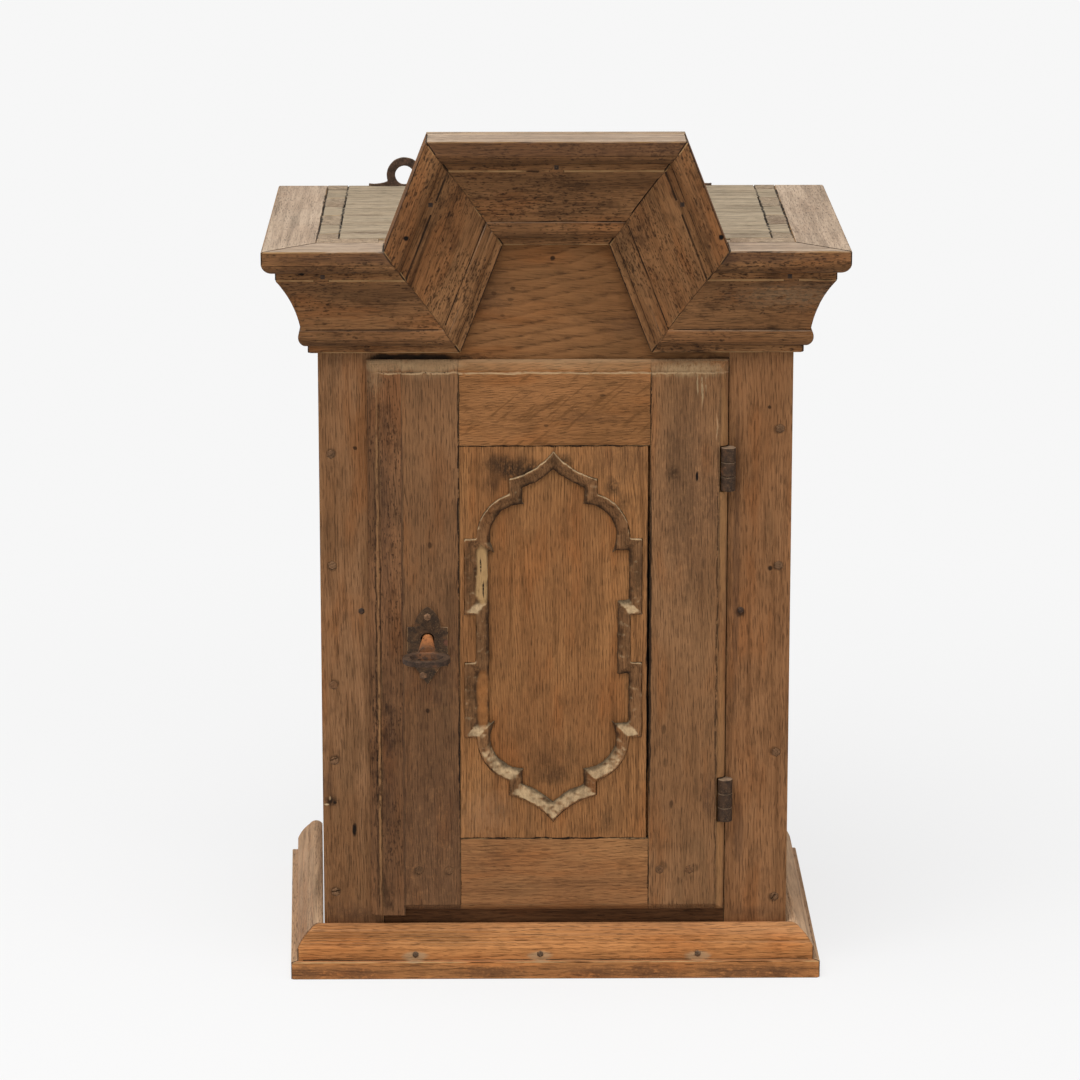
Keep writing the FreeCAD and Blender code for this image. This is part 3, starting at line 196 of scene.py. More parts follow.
def oak(name, grain, pith, light, mid, dark, pitch=2.6, rise=0.05, ring=0.6, streak=0.8, dirt=0.3,
        specks=0.0, fleck=0.0, dust=0.8, dust_from=0.45, dust_tone=DUST, rubbed_highlight=0.85, rubbed_highlight_tone=RUBBED_HIGHLIGHT,
        porous=0.55, marks=()):
    """Old oak in three shades. grain turns an upright board into the way that this one runs, and pith is
    where the middle of the tree lay across the grain, in millimetres. pitch is the width of a year, and
    rise how much the years climb. The other numbers say how strong a thing is, from 0 to 1."""
    finish, shader, place, normal = start_finish(name)
    own_stretch = sum(pith) * 7
    board = place.node("ShaderNodeMapping", {}, {
        "Vector": place, "Location": (-pith[0], -pith[1], own_stretch), "Rotation": grain,
        "Scale": (PER_METRE, PER_METRE, PER_METRE)})
    along = board.part(2)
    wander = board.noise(0.011, 0.0035, 2) - 0.5
    ripple = board.noise(0.06, 0.012, 2) - 0.5
    from_pith = ((board.part(0) + along * rise + wander * 30) ** 2 + board.part(1) ** 2) ** 0.5
    years = from_pith * (1 / pitch) + ripple * 1.6
    one_year = ((0.0, 0.15), (0.14, 1.0), (0.42, 0.35), (1.0, 0.0))
    early = years.node("ShaderNodeValToRGB", {"stops": one_year}, {0: years.sum("FRACT", years, 0.0)})
    cloud = board.noise(0.016, 0.007, 3)
    warmth = board.noise(0.035, 0.009, 2, 0.6)
    streaks = board.noise(0.17, 0.007, 3, 0.62)
    fibre = board.noise(0.85, 0.030, 3, 0.65)
    pores = board.noise(1.05, 0.085, 1).step(0.55, 0.64) * (1 - porous + porous * early)
    blotch = board.noise(0.05, 0.03, 4, 0.68)
    deeper = tinted(dark, 0.34, 0.34, 0.36)
    body = cloud.step(0.36, 0.64).blend(mid, light)
    body = (warmth.step(0.50, 0.70) * 0.55).blend(body, tinted(mid, 1.22, 0.98, 0.74))
    body = (warmth.step(0.47, 0.30) * 0.55).blend(body, tinted(mid, 0.78, 0.86, 0.92))
    body = (early * cloud.step(0.15, 0.5) * ring * 0.6).blend(body, dark)
    body = (streaks.step(0.50, 0.70) * streak * 0.75).blend(body, dark)
    body = (streaks.step(0.46, 0.28) * streak * 0.6).blend(body, light)
    body = (blotch.step(0.50, 0.72) * dirt).blend(body, deeper)
    body = (fibre.step(0.50, 0.68) * 0.40).blend(body, dark)
    body = (fibre.step(0.46, 0.30) * 0.40).blend(body, light)
    body = (pores * 0.55).blend(body, deeper)
    if fleck:
        slant = board.node("ShaderNodeMapping", {}, {"Vector": board, "Rotation": (0, math.radians(38), 0)})
        curl = slant.noise(0.30, 0.035, 2).step(0.56, 0.64) * board.noise(0.03, 0.02, 2).step(0.40, 0.55)
        body = (curl * fleck).blend(body, dark)
    if specks:
        jog = board.noise(0.35, 0.35, 2, output=1)
        crowd = board.noise(0.024, 0.014, 3).step(0.34, 0.66)
        for share, across_size, along_size in ((0.8, 0.30, 0.125), (1.0, 0.58, 0.22)):
            speck = board.vector("MULTIPLY", (across_size, across_size, along_size)).vector("ADD", jog)
            near = speck.node("ShaderNodeTexVoronoi", {}, {"Vector": speck, "Scale": 1.0})
            chance = Field(near.socket.node.outputs["Color"]).part(0)
            worm = near.step(0.52, 0.12) * (chance - 1 + specks * share * (0.25 + crowd)).step(0.0, 0.35)
            body = (worm * 0.72).blend(body, SOOT_AND_SHADE)
    facing = normal.part(2)
    # Faces that look downwards are darkened: painted shade.
    body = (facing.step(-0.2, -0.7) * 0.4).blend(body, deeper)
    if dust:
        grey = streaks.step(0.30, 0.72).blend(dust_tone, tinted(dust_tone, 0.58, 0.58, 0.58))
        lying = facing.step(dust_from, dust_from + 0.4) * (0.85 + 0.7 * (cloud - 0.5)) * dust
        body = lying.least(1.0).blend(body, grey)
        body = (facing.step(0.7, 0.9) * pores * 0.5).blend(body, deeper)
    worn = place.node("ShaderNodeAttribute", {"attribute_name": "worn"}, {}, 2)
    # Bevels in joints and quirks are darkened with grime; in the quirks this is also painted shade.
    grime_and_shade = worn.step(GRIMY_AND_SHADED - 0.8, GRIMY_AND_SHADED - 0.2)
    arris = worn.step(BARE - 0.8, BARE - 0.2) * (1 - grime_and_shade)
    patchy = board.noise(0.055, 0.025, 3)
    # Worn arrises lighten in patches: bare wood, and also painted highlight.
    body = (arris * patchy.step(0.34, 0.58) * rubbed_highlight).blend(body, rubbed_highlight_tone)
    body = (arris * patchy.step(0.42, 0.33) * 0.85).blend(body, deeper)
    body = (grime_and_shade * (0.55 + 0.35 * patchy.step(0.36, 0.52))).blend(body, SOOT_AND_SHADE)
    shake = board.noise(0.11, 0.05, 3, output=1).vector("SUBTRACT", (0.5, 0.5, 0.5))
    ragged = board.noise(0.16, 0.10, 3, 0.7)
    body = stained(body, shake.vector("MULTIPLY_ADD", (4 * MM, 4 * MM, 4 * MM), place), ragged, marks)
    feed(shader, "Base Color", body)
    feed(shader, "Roughness", 0.58 + 0.22 * streaks + 0.1 * fibre)
    relief = 0.4 * streaks + 0.55 * fibre - 0.8 * pores - 0.25 * early
    bump = relief.node("ShaderNodeBump", {}, {"Height": relief, "Strength": 0.75, "Distance": 0.0008})
    feed(shader, "Normal", bump)
    shader.inputs["Specular IOR Level"].default_value = 0.10
    return finish


def only(piece):
    bpy.ops.object.select_all(action="DESELECT")
    piece.select_set(True)
    bpy.context.view_layer.objects.active = piece


def apply_all(piece):
    only(piece)
    for modifier in list(piece.modifiers):
        bpy.ops.object.modifier_apply(modifier=modifier.name)


def uneven(piece, size, depth, level, group="", sparse=False):
    """Pushes a surface in and out by soft lumps of a given size; sparse ones are deep and far apart."""
    lumps = bpy.data.textures.new("lumps_" + piece.name, type="CLOUDS")
    lumps.noise_scale = size
    if sparse:
        lumps.use_clamp = True
        lumps.contrast = 4.0
        lumps.intensity = 1.55
    push = piece.modifiers.new("uneven", "DISPLACE")
    push.texture = lumps
    push.texture_coords = "LOCAL"
    push.strength = depth
    push.mid_level = level
    push.vertex_group = group


def copy_of(node, finish):
    """The form of a CAD node as a new piece, its triangles merged and open to be worked on."""
    piece = bpy.data.objects.new("old_" + node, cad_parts[node].data.copy())
    bpy.context.scene.collection.objects.link(piece)
    piece.data.materials.clear()
    piece.data.materials.append(finish)
    only(piece)
    bpy.ops.object.mode_set(mode="EDIT")
    bpy.ops.mesh.select_all(action="SELECT")
    bpy.ops.mesh.remove_doubles(threshold=0.00001)
    return piece


NEW_FACES = 1


def bevel(width, segments, clamp):
    """Bevels the picked edges, and puts the faces that this makes in the second finish."""
    bpy.ops.mesh.bevel(offset=width, offset_type="OFFSET", segments=segments, affect="EDGES",
                       clamp_overlap=clamp, material=NEW_FACES)


def note_wear(piece, run, along, across):
    """Notes how the faces that a bevel has just made are marked, and puts them back in the first finish:
    one mark along the board, and another across it, where it meets the next."""
    mesh = piece.data
    for face in mesh.polygons:
        if face.material_index == NEW_FACES:
            face.material_index = 0
            corners = [mesh.vertices[i].co for i in face.vertices]
            sides = [b - a for a, b in zip(corners, corners[1:] + corners[:1])]
            longest = max(sides, key=lambda side: side.length)
            follows = abs(longest.normalized().dot(run)) > 0.9
            mesh.attributes["worn"].data[face.index].value = along if follows else across


fixings = []
for name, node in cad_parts.items():
    if "nails" in name or "pegs" in name:
        corners = [corner.co for corner in node.data.vertices]
        fixings.append(BVHTree.FromPolygons(corners, [face.vertices for face in node.data.polygons]))


def at_fixing(edge, room=0.005):
    """Whether a short edge runs along or close by a nail or a peg, and so by the hole that it fills."""
    middle = (edge.verts[0].co + edge.verts[1].co) / 2
    return any(body.find_nearest(middle, room)[0] for body in fixings)


def part_up(edges, spacing):
    """Divides each edge into even lengths, without cutting a face."""
    for edge in edges:
        end = edge.verts[0]
        for parts in range(int(edge.calc_length() / spacing), 1, -1):
            end = bmesh.utils.edge_split(edge, end, 1 / parts)[1]


ARRIS_LENGTH = 0.007
QUIRK_LENGTH = 0.0045
QUIRK_TURN = 25
SMOOTH_TURN = 22
BROAD_FACE = 0.0018
SQUARE_ON = 0.9999


def worn_copy(node, finish, arris, shortest=0.0055, wear=0.0007, grime_and_shade=0.0, chips=0.0, turn=40,
              clamp=True, covered=None):
    """A board with the joints of its CAD node, in metres: arrises sharper than turn are worn back unevenly
    and chipped, and its quirks and joints are darkened: grime, with painted shade in the quirks. Arrises
    that another piece covers are left."""
    piece = copy_of(node, finish)
    bpy.ops.mesh.dissolve_limited(angle_limit=math.radians(1))
    bpy.ops.mesh.select_mode(type="EDGE")
    shape = bmesh.from_edit_mesh(piece.data)

    def hidden(edge):
        return covered and all(covered[0][i] < corner.co[i] < covered[1][i]
                               for corner in edge.verts for i in (0, 2))

    def sharp(edge):
        turned = edge.is_manifold and edge.is_convex and edge.calc_face_angle() > math.radians(turn)
        return turned and not hidden(edge)

    def quirk(edge):
        hollow = edge.is_manifold and not edge.is_convex
        return hollow and edge.calc_face_angle() > math.radians(QUIRK_TURN)

    longest = max((e for e in shape.edges if sharp(e)), key=lambda e: e.calc_length())
    run = (longest.verts[1].co - longest.verts[0].co).normalized()
    part_up([e for e in shape.edges if sharp(e)], ARRIS_LENGTH)
    bmesh.update_edit_mesh(piece.data)
    bpy.ops.mesh.select_all(action="DESELECT")
    shape = bmesh.from_edit_mesh(piece.data)
    for edge in shape.edges:
        edge.select_set(sharp(edge) and edge.calc_length() > shortest and not at_fixing(edge))
    bmesh.update_edit_mesh(piece.data)
    piece.data.materials.append(finish)
    bevel(arris, 2, clamp)
    bpy.ops.object.mode_set(mode="OBJECT")
    ridge = set(range(len(piece.data.vertices)))
    for face in piece.data.polygons:
        if face.material_index != NEW_FACES:
            ridge.difference_update(face.vertices)
    piece.vertex_groups.new(name="ridge").add(sorted(ridge), 1.0, "REPLACE")
    piece.data.attributes.new("worn", "FLOAT", "FACE")
    note_wear(piece, run, BARE, GRIMY_AND_SHADED)
    # Quirks get a narrow bevel of their own, darkened as grime and painted shade.
    if grime_and_shade:
        bpy.ops.object.mode_set(mode="EDIT")
        bpy.ops.mesh.select_all(action="DESELECT")
        shape = bmesh.from_edit_mesh(piece.data)
        part_up([e for e in shape.edges if quirk(e)], QUIRK_LENGTH)
        for edge in shape.edges:
            between = all(len(corner.link_edges) == 2 for corner in edge.verts)
            edge.select_set(between and quirk(edge) and not at_fixing(edge))
        bmesh.update_edit_mesh(piece.data)
        bevel(grime_and_shade, 1, clamp)
        bpy.ops.object.mode_set(mode="OBJECT")
        note_wear(piece, run, GRIMY_AND_SHADED, GRIMY_AND_SHADED)
    piece.data.materials.pop()
    uneven(piece, size=0.012, depth=wear, level=0.8, group="ridge")
    if chips:
        uneven(piece, size=0.016, depth=chips, level=1.0, group="ridge", sparse=True)
    apply_all(piece)
    bpy.ops.object.shade_smooth_by_angle(angle=math.radians(SMOOTH_TURN))
    for face in piece.data.polygons:
        if face.area > BROAD_FACE or max(abs(share) for share in face.normal) > SQUARE_ON:
            face.use_smooth = False
    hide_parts(node)
    return piece


BOX_TOP = 720


def on_top(x, y, wide, deep, strength, stain, reach=30):
    """A mark on the top of the box."""
    return (x, y, BOX_TOP), (wide, deep, reach), strength, stain


side_light = tone(0.53, 0.385, 0.26)
side_mid = tone(0.46, 0.325, 0.215)
side_dark = tone(0.33, 0.225, 0.145)
dovetail_lines = [on_top(x, 45, 1.45, 190, 0.95, CRACK) for x in (-225, -205, 205, 225)]
side_marks = dovetail_lines + [on_top(214, 10, 10, 60, 0.4, PLUM), on_top(-214, -60, 9, 30, 0.35, PLUM)]
for node, pith in (("side_left", (-90, 60)), ("side_right", (110, 30))):
    finish = oak(node + "_oak", UPRIGHT, pith, side_light, side_mid, side_dark,
                 dust_tone=tone(0.66, 0.60, 0.51), marks=side_marks)
    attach(worn_copy(node, finish, 0.0012, chips=0.0025), "carcass")
top_marks = dovetail_lines + [on_top(-172, -58, 34, 12, 0.5, PLUM), on_top(-185, 40, 22, 8, 0.35, PLUM),
                              on_top(182, -72, 26, 9, 0.4, PLUM), on_top(186, 90, 20, 8, 0.35, PLUM)]
top_finish = oak("top_board_oak", LEVEL, (-700, 190), tone(0.57, 0.50, 0.40), tone(0.51, 0.44, 0.345),
                 tone(0.37, 0.32, 0.25), dust_tone=tone(0.68, 0.615, 0.52), ring=0.9, marks=top_marks)
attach(worn_copy("top_board", top_finish, 0.0020, chips=0.0045), "carcass")
bottom_finish = oak("bottom_board_oak", LEVEL, (-70, 160), side_light, side_mid, side_dark, dust=0.3)
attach(worn_copy("bottom_board", bottom_finish, 0.0010), "carcass")

# Back, shelf and battens: thinner, rougher oak that was never meant to be seen. Three upright boards are
# nailed into the rebates of the sides. The shelf lies on two nailed battens, with nails through the stiles.
BACK_TO_FRONT = (math.radians(90), 0, 0)
inner_light = tone(0.56, 0.435, 0.31)
inner_mid = tone(0.49, 0.37, 0.26)
inner_dark = tone(0.36, 0.26, 0.17)
for place, pith in (("left", (-150, 260)), ("middle", (40, 250)), ("right", (190, 270))):
    node = "back_board_" + place
    finish = oak(node + "_oak", UPRIGHT, pith, inner_light, inner_mid, inner_dark, specks=0.25)
    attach(worn_copy(node, finish, 0.0010), "carcass")
shelf_finish = oak("shelf_oak", LEVEL, (-300, 90), inner_light, inner_mid, inner_dark, dust=0.35)
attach(worn_copy("shelf", shelf_finish, 0.0012), "carcass")
batten_finish = oak("batten_oak", BACK_TO_FRONT, (-340, 30), inner_light, inner_mid, inner_dark)
for node in ("shelf_batten_left", "shelf_batten_right"):
    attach(worn_copy(node, batten_finish, 0.0010), "carcass")

# Face frame: two upright stiles with a frieze board and a bottom rail tenoned between them, all of oak,
# pegged to the front edges of the sides. Old nail holes and knocks mark the stiles.
FRONT = -117


def on_front(x, z, wide, high, strength, stain, reach=16):
    """A mark on the face of the door or the frame, which doesn't go through to the back."""
    return (x, FRONT, z), (wide, reach, high), strength, stain


def peg_rings(x, heights, radius=5.7):
    """The dark joint round each peg of a stile."""
    return [on_front(x, z, radius, radius, 0.55, SOOT_AND_SHADE) for z in heights]


# Painted shadow: a dark band just over the top of the door, on the stile and the frieze.
shadow_over_door = [on_front(x, 608.3, wide, 6.4, 0.93, SOOT_AND_SHADE)
                 for x, wide in ((-165, 15), (-144, 26), (-118, 26))]
left_marks = peg_rings(-213.5, (517, 406, 289.6, 213.9, 79.8)) + shadow_over_door + [
    on_front(-190.6, 521.9, 2.5, 2.5, 0.8, SOOT_AND_SHADE), on_front(-194.4, 141.9, 2.4, 8, 1.0, SOOT_AND_SHADE),
    on_front(-217, 171, 8, 6.8, 1.0, SOOT_AND_SHADE), on_front(-213.5, 170, 2.2, 1.6, 0.9, SOOT_AND_SHADE),
    on_front(-222, 168, 3.2, 1.2, 0.9, tone(0.72, 0.62, 0.48)), on_front(-220, 187, 7, 14, 0.5, PLUM),
    on_front(-218, 174, 1.3, 2.6, 0.7, tone(0.66, 0.55, 0.41)), on_front(-198, 56, 38, 14, 0.55, PLUM),
    on_front(-173, 180, 5, 160, 0.35, PLUM), on_front(-173, 470, 5, 120, 0.3, PLUM)]
stile_left_finish = oak("frame_stile_left_oak", UPRIGHT, (-420, -95), tone(0.55, 0.40, 0.275),
                        tone(0.48, 0.335, 0.215), tone(0.37, 0.25, 0.155), marks=left_marks)
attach(worn_copy("frame_stile_left", stile_left_finish, 0.0014, chips=0.0020), "carcass")
right_marks = peg_rings(212, (539.4, 405.6, 220.5, 72.1)) + [
    on_front(203.3, 560.8, 2.2, 2.2, 0.8, SOOT_AND_SHADE), on_front(206.2, 403.1, 3.0, 3.2, 0.9, SOOT_AND_SHADE),
    on_front(177, 359.7, 6, 6, 0.8, SOOT_AND_SHADE), on_front(173, 420, 4, 180, 0.4, PLUM),
    on_front(196, 57, 30, 7, 0.45, PLUM), on_front(178, 140, 6, 40, 0.4, PLUM)]
stile_right_finish = oak("frame_stile_right_oak", UPRIGHT, (400, -60), tone(0.56, 0.395, 0.26),
                         tone(0.495, 0.34, 0.215), tone(0.38, 0.25, 0.15), marks=right_marks)
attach(worn_copy("frame_stile_right", stile_right_finish, 0.0014, chips=0.0020), "carcass")
frieze_marks = shadow_over_door + [
    # The first three marks here are more of the painted shadow over the door.
    on_front(-80, 606, 40, 7, 0.9, SOOT_AND_SHADE), on_front(150, 606, 26, 7, 0.85, SOOT_AND_SHADE),
    on_front(172, 606, 14, 5, 0.8, SOOT_AND_SHADE), on_front(-2.7, 704, 3, 3, 0.85, SOOT_AND_SHADE),
    on_front(-62, 668, 20, 26, 0.4, PLUM), on_front(-41, 676, 3.4, 1.7, 0.55, SOOT_AND_SHADE),
    on_front(-58.5, 671, 3, 2, 0.5, SOOT_AND_SHADE), on_front(-42, 665.5, 3.6, 1.8, 0.5, SOOT_AND_SHADE),
    on_front(-50, 650, 3, 1.6, 0.4, SOOT_AND_SHADE), on_front(70, 640, 26, 14, 0.35, PLUM)]
frieze_finish = oak("frieze_oak", leaning(94), (-560, -70), tone(0.525, 0.362, 0.222),
                    tone(0.455, 0.307, 0.18), tone(0.32, 0.21, 0.12), pitch=11.0, ring=0.8, rise=0.26,
                    streak=0.3, porous=0.95, marks=frieze_marks)
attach(worn_copy("frieze_board", frieze_finish, 0.0010), "carcass")
# The rail's oak is made very dark: painted shade for the shadow under the door's lip.
rail_finish = oak("bottom_rail_oak", LEVEL, (-20, -40), tone(0.38, 0.25, 0.15), tone(0.31, 0.195, 0.11),
                  tone(0.22, 0.135, 0.07))
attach(worn_copy("frame_bottom_rail", rail_finish, 0.0010), "carcass")

# Cornice: seven mitred lengths of one oak moulding, a crown over a cove and a bead, planed in one run.
# It breaks up over the frieze in a trapezoid, and its mitres have opened; smoke and worm have darkened it.
RAKE_IN = 40
RAKE_UP = 103
CROWN_FACE = -162
rake = math.atan2(RAKE_IN, RAKE_UP)
crown_light = tone(0.545, 0.385, 0.245)
crown_mid = tone(0.455, 0.31, 0.19)
crown_dark = tone(0.29, 0.195, 0.12)
nail_hole = tone(0.05, 0.035, 0.025)
top_face = ((0, CROWN_FACE, 816), (300, 4, 9), 0.5, PLUM)
front_face = ((0, CROWN_FACE, 714), (300, 4, 8), 0.6, PLUM)
left_hole = ((-236.9, -150, 697.3), (3.2, 30, 2.2), 1.0, nail_hole)
left_rake_hole = ((-139.9, -150, 732), (3.0, 40, 3.0), 1.0, nail_hole)
right_rake_hole = ((152.9, -150, 733.3), (3.0, 40, 3.0), 1.0, nail_hole)
right_bloom = ((222, -150, 672), (60, 30, 14), 0.35, tone(0.58, 0.49, 0.38))
return_lines = [on_top(x, 45, 1.45, 190, 0.95, CRACK) for x in (-225, 225)]
for node, grain, pith, shade, marks in (
    ("cornice_front_left", LEVEL, (-640, -190), 1.0, (front_face, left_hole)),
    ("cornice_rake_left", (0, -rake, 0), (-420, -185), 1.0, (left_rake_hole,)),
    ("cornice_top", LEVEL, (-730, -200), 0.95, (top_face,)),
    ("cornice_rake_right", (0, rake, 0), (450, -195), 1.0, (right_rake_hole,)),
    ("cornice_front_right", LEVEL, (-660, -210), 1.0, (front_face, right_bloom)),
    ("cornice_return_left", BACK_TO_FRONT, (-620, -330), 1.0, return_lines),
    ("cornice_return_right", BACK_TO_FRONT, (-600, 330), 1.0, return_lines),
):
    shades = [tinted(colour, shade, shade, shade) for colour in (crown_light, crown_mid, crown_dark)]
    finish = oak(node + "_oak", grain, pith, *shades, specks=0.9, ring=0.3, dirt=0.6, streak=0.7, dust=0.95,
                 dust_tone=tone(0.715, 0.635, 0.55), rubbed_highlight=1.0, rubbed_highlight_tone=tone(0.56, 0.43, 0.285),
                 marks=marks)
    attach(worn_copy(node, finish, 0.0010, wear=0.0008, grime_and_shade=0.0006, chips=0.0014,
                      turn=34, clamp=False), "carcass")

# Base moulding: a front and two returns of redder oak, a hollow over a square fillet, nailed round the
# foot of the box. The left return has sprung away from the side at the back.
PROUD = -125


def on_proud(x, z, wide, high, strength, stain, reach=85):
    """A mark on a moulding that stands out from the front."""
    return (x, PROUD, z), (wide, reach, high), strength, stain


base_light = tone(0.765, 0.525, 0.315)
base_mid = tone(0.68, 0.45, 0.26)
base_dark = tone(0.41, 0.26, 0.145)
base_marks = [on_proud(x, 21.5, 14, 5.5, 0.7, tone(0.66, 0.55, 0.42)) for x in (-136.6, -15.2, 138.4)]
base_marks += [((x, -140, 6), (30, 40, 7), 0.6, PLUM) for x in (-240, -190, -60, 40, 95, 170, 215)]
base_marks += [((x, -141, 8), (130, 12, 8.5), 0.35, PLUM) for x in (-180, 0, 180)]
base_finish = oak("base_front_oak", leaning(91), (-10, -200), base_light, base_mid, base_dark, pitch=4.5,
                  ring=0.5, rise=0.03, streak=0.28, dirt=0.15, dust=0.15, marks=base_marks)
base_front = worn_copy("base_front", base_finish, 0.0016, wear=0.0010, grime_and_shade=0.0008,
                       chips=0.0012)
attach(base_front, "carcass")
for node, pith in (("base_return_left", (-40, -300)), ("base_return_right", (-20, 320))):
    # The returns are coloured paler than the front: partly their own pinker oak, partly painted light on
    # the sides.
    finish = oak(node + "_oak", BACK_TO_FRONT, pith, tone(0.80, 0.635, 0.495), tone(0.735, 0.57, 0.43),
                 tone(0.48, 0.355, 0.25), specks=0.12, dust_tone=tone(0.75, 0.62, 0.49), dust_from=0.2)
    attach(worn_copy(node, finish, 0.0016, wear=0.0010, chips=0.0012), "carcass")

# Door frame: an edge strip and two stiles with two rails tenoned between them, in oak of several boards.
# A thumb moulding runs all round, chipped along the top, and the back is cut away to a lip.
scar = tone(0.60, 0.50, 0.37)
# Pale lines along the thumb moulding's ridge and step: worn wood, and painted highlight.
rubbed_ridge_highlight = tone(0.58, 0.43, 0.28)
pale_step_highlight = tone(0.67, 0.55, 0.41)
raw_oak = tone(0.62, 0.45, 0.285)
strip_joint = [on_front(-146.2, z, 1.6, 190, 0.5, PLUM) for z in (180, 450)]
# Painted highlight along the step of the thumb moulding at the top of the door.
step_highlight_line = [on_front(x, 596, 108, 1.15, 0.85, pale_step_highlight) for x in (-100, 0, 90)]
top_thumb = [on_front(x, 603, wide, 6.4, strength, scar)
             for x, wide, strength in ((-160, 30, 0.40), (-118, 34, 0.40), (-40, 70, 0.22), (50, 70, 0.22))]
top_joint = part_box("door_top_rail")[0][2] * PER_METRE
bottom_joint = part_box("door_bottom_rail")[1][2] * PER_METRE
rail_joints = [on_front(0, z, 150, 1.1, 0.95, CRACK) for z in (top_joint, bottom_joint)]
rail_joints += [on_front(x, z, 0.9, 40, 0.8, CRACK) for x in (-92.3, 90) for z in (568, 95)]
strip_marks = strip_joint + top_thumb + [
    on_front(-156, 596, 16, 1.15, 0.8, pale_step_highlight), on_front(-169.5, 200, 1.45, 160, 0.75, rubbed_ridge_highlight),
    on_front(-169.8, 460, 1.2, 150, 0.55, rubbed_ridge_highlight), on_front(-172, 300, 1.1, 260, 0.75, SOOT_AND_SHADE),
    on_front(-167.6, 360, 0.9, 75, 0.7, CRACK), on_front(-168, 190, 0.8, 80, 0.6, CRACK),
    on_front(-162, 440, 7, 120, 0.45, PLUM), on_front(-160, 200, 8, 120, 0.4, PLUM),
    on_front(-172, 590, 8, 14, 0.3, scar)]
left_door_marks = strip_joint + top_thumb + step_highlight_line + [
    on_front(-119, 130, 60, 150, 0.55, PLUM), on_front(-122, 318, 45, 60, 0.45, PLUM),
    on_front(-133.4, 103.3, 5.4, 5.4, 0.35, SOOT_AND_SHADE), on_front(-104.3, 103.1, 5.4, 5.4, 0.35, SOOT_AND_SHADE),
    on_front(-115, 277, 7, 8, 0.5, PLUM), on_front(-122.7, 264.7, 2.5, 3, 0.8, SOOT_AND_SHADE),
    on_front(-119.8, 429.2, 2.8, 4.2, 0.65, SOOT_AND_SHADE), on_front(-120, 597, 26, 7, 0.25, scar),
    on_front(-92.5, 210, 1.2, 75, 0.95, CRACK), on_front(-92.5, 480, 1.2, 160, 0.9, CRACK),
    on_front(-92.5, 330, 1.1, 110, 0.7, CRACK)]
right_door_marks = step_highlight_line + [
    on_front(159.6, 180, 4.4, 170, 0.45, raw_oak), on_front(159.6, 480, 4.4, 130, 0.6, raw_oak),
    on_front(154.4, 320, 1.1, 290, 0.7, SOOT_AND_SHADE), on_front(152.8, 543, 0.7, 14, 0.6, tone(0.70, 0.58, 0.44)),
    on_front(90.6, 330, 1.6, 210, 0.85, CRACK), on_front(90.2, 568, 1.0, 40, 0.9, CRACK),
    on_front(90.2, 95, 0.8, 40, 0.8, CRACK), on_front(148, 176, 8, 26, 0.6, PLUM),
    on_front(149, 470, 7, 26, 0.4, PLUM), on_front(127, 480, 34, 120, 0.45, PLUM),
    on_front(104.9, 108.5, 5.4, 5.4, 0.35, SOOT_AND_SHADE), on_front(135.5, 106.4, 5.4, 5.4, 0.35, SOOT_AND_SHADE),
    on_front(111.3, 499.1, 7, 8, 0.7, SOOT_AND_SHADE), on_front(134.1, 496.1, 1.6, 6, 1.0, CRACK),
    on_front(104, 246, 3, 6, 0.4, SOOT_AND_SHADE), on_front(106, 212, 3, 6, 0.35, SOOT_AND_SHADE),
    on_front(112, 170, 2.2, 5, 0.6, SOOT_AND_SHADE), on_front(134, 585, 0.9, 12, 0.8, scar),
    on_front(138.5, 580, 1.2, 19, 0.9, scar), on_front(142, 586, 0.9, 9, 0.8, scar),
    on_front(125, 599, 44, 7, 0.75, scar)]
top_rail_marks = top_thumb + step_highlight_line + rail_joints + [
    on_front(30, 553, 40, 7, 0.3, PLUM), on_front(-10, 545, 3, 1.8, 0.6, SOOT_AND_SHADE),
    on_front(45, 575, 4, 1.7, 0.6, SOOT_AND_SHADE)]
bottom_rail_marks = rail_joints + [on_front(-60, 112, 26, 12, 0.35, PLUM)]
door_members = (
    ("door_edge_strip", UPRIGHT, (-560, -110), tone(0.51, 0.355, 0.235), tone(0.42, 0.29, 0.19),
     tone(0.28, 0.19, 0.12), {"specks": 0.6, "dirt": 0.75, "marks": strip_marks}),
    ("door_stile_left", UPRIGHT, (-380, -150), tone(0.52, 0.37, 0.245), tone(0.45, 0.315, 0.205),
     tone(0.33, 0.23, 0.15), {"rise": 0.02, "streak": 0.5, "marks": left_door_marks}),
    ("door_stile_right", UPRIGHT, (420, -140), tone(0.56, 0.405, 0.272), tone(0.495, 0.348, 0.225),
     tone(0.355, 0.245, 0.155), {"rise": 0.04, "streak": 0.6, "marks": right_door_marks}),
    ("door_top_rail", LEVEL, (-520, -60), tone(0.585, 0.40, 0.245), tone(0.515, 0.347, 0.203),
     tone(0.39, 0.255, 0.14), {"rise": 0.20, "fleck": 0.7, "marks": top_rail_marks}),
    ("door_bottom_rail", LEVEL, (-180, -100), tone(0.625, 0.44, 0.275), tone(0.545, 0.375, 0.235),
     tone(0.41, 0.27, 0.165), {"rise": 0.06, "marks": bottom_rail_marks}),
)
for node, grain, pith, light, mid, dark, details in door_members:
    finish = oak(node + "_oak", grain, pith, light, mid, dark, rubbed_highlight=0.5, dust_tone=tone(0.59, 0.48, 0.36),
                 **details)
    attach(worn_copy(node, finish, 0.0014, wear=0.0010, grime_and_shade=0.0007, chips=0.0014), "door")

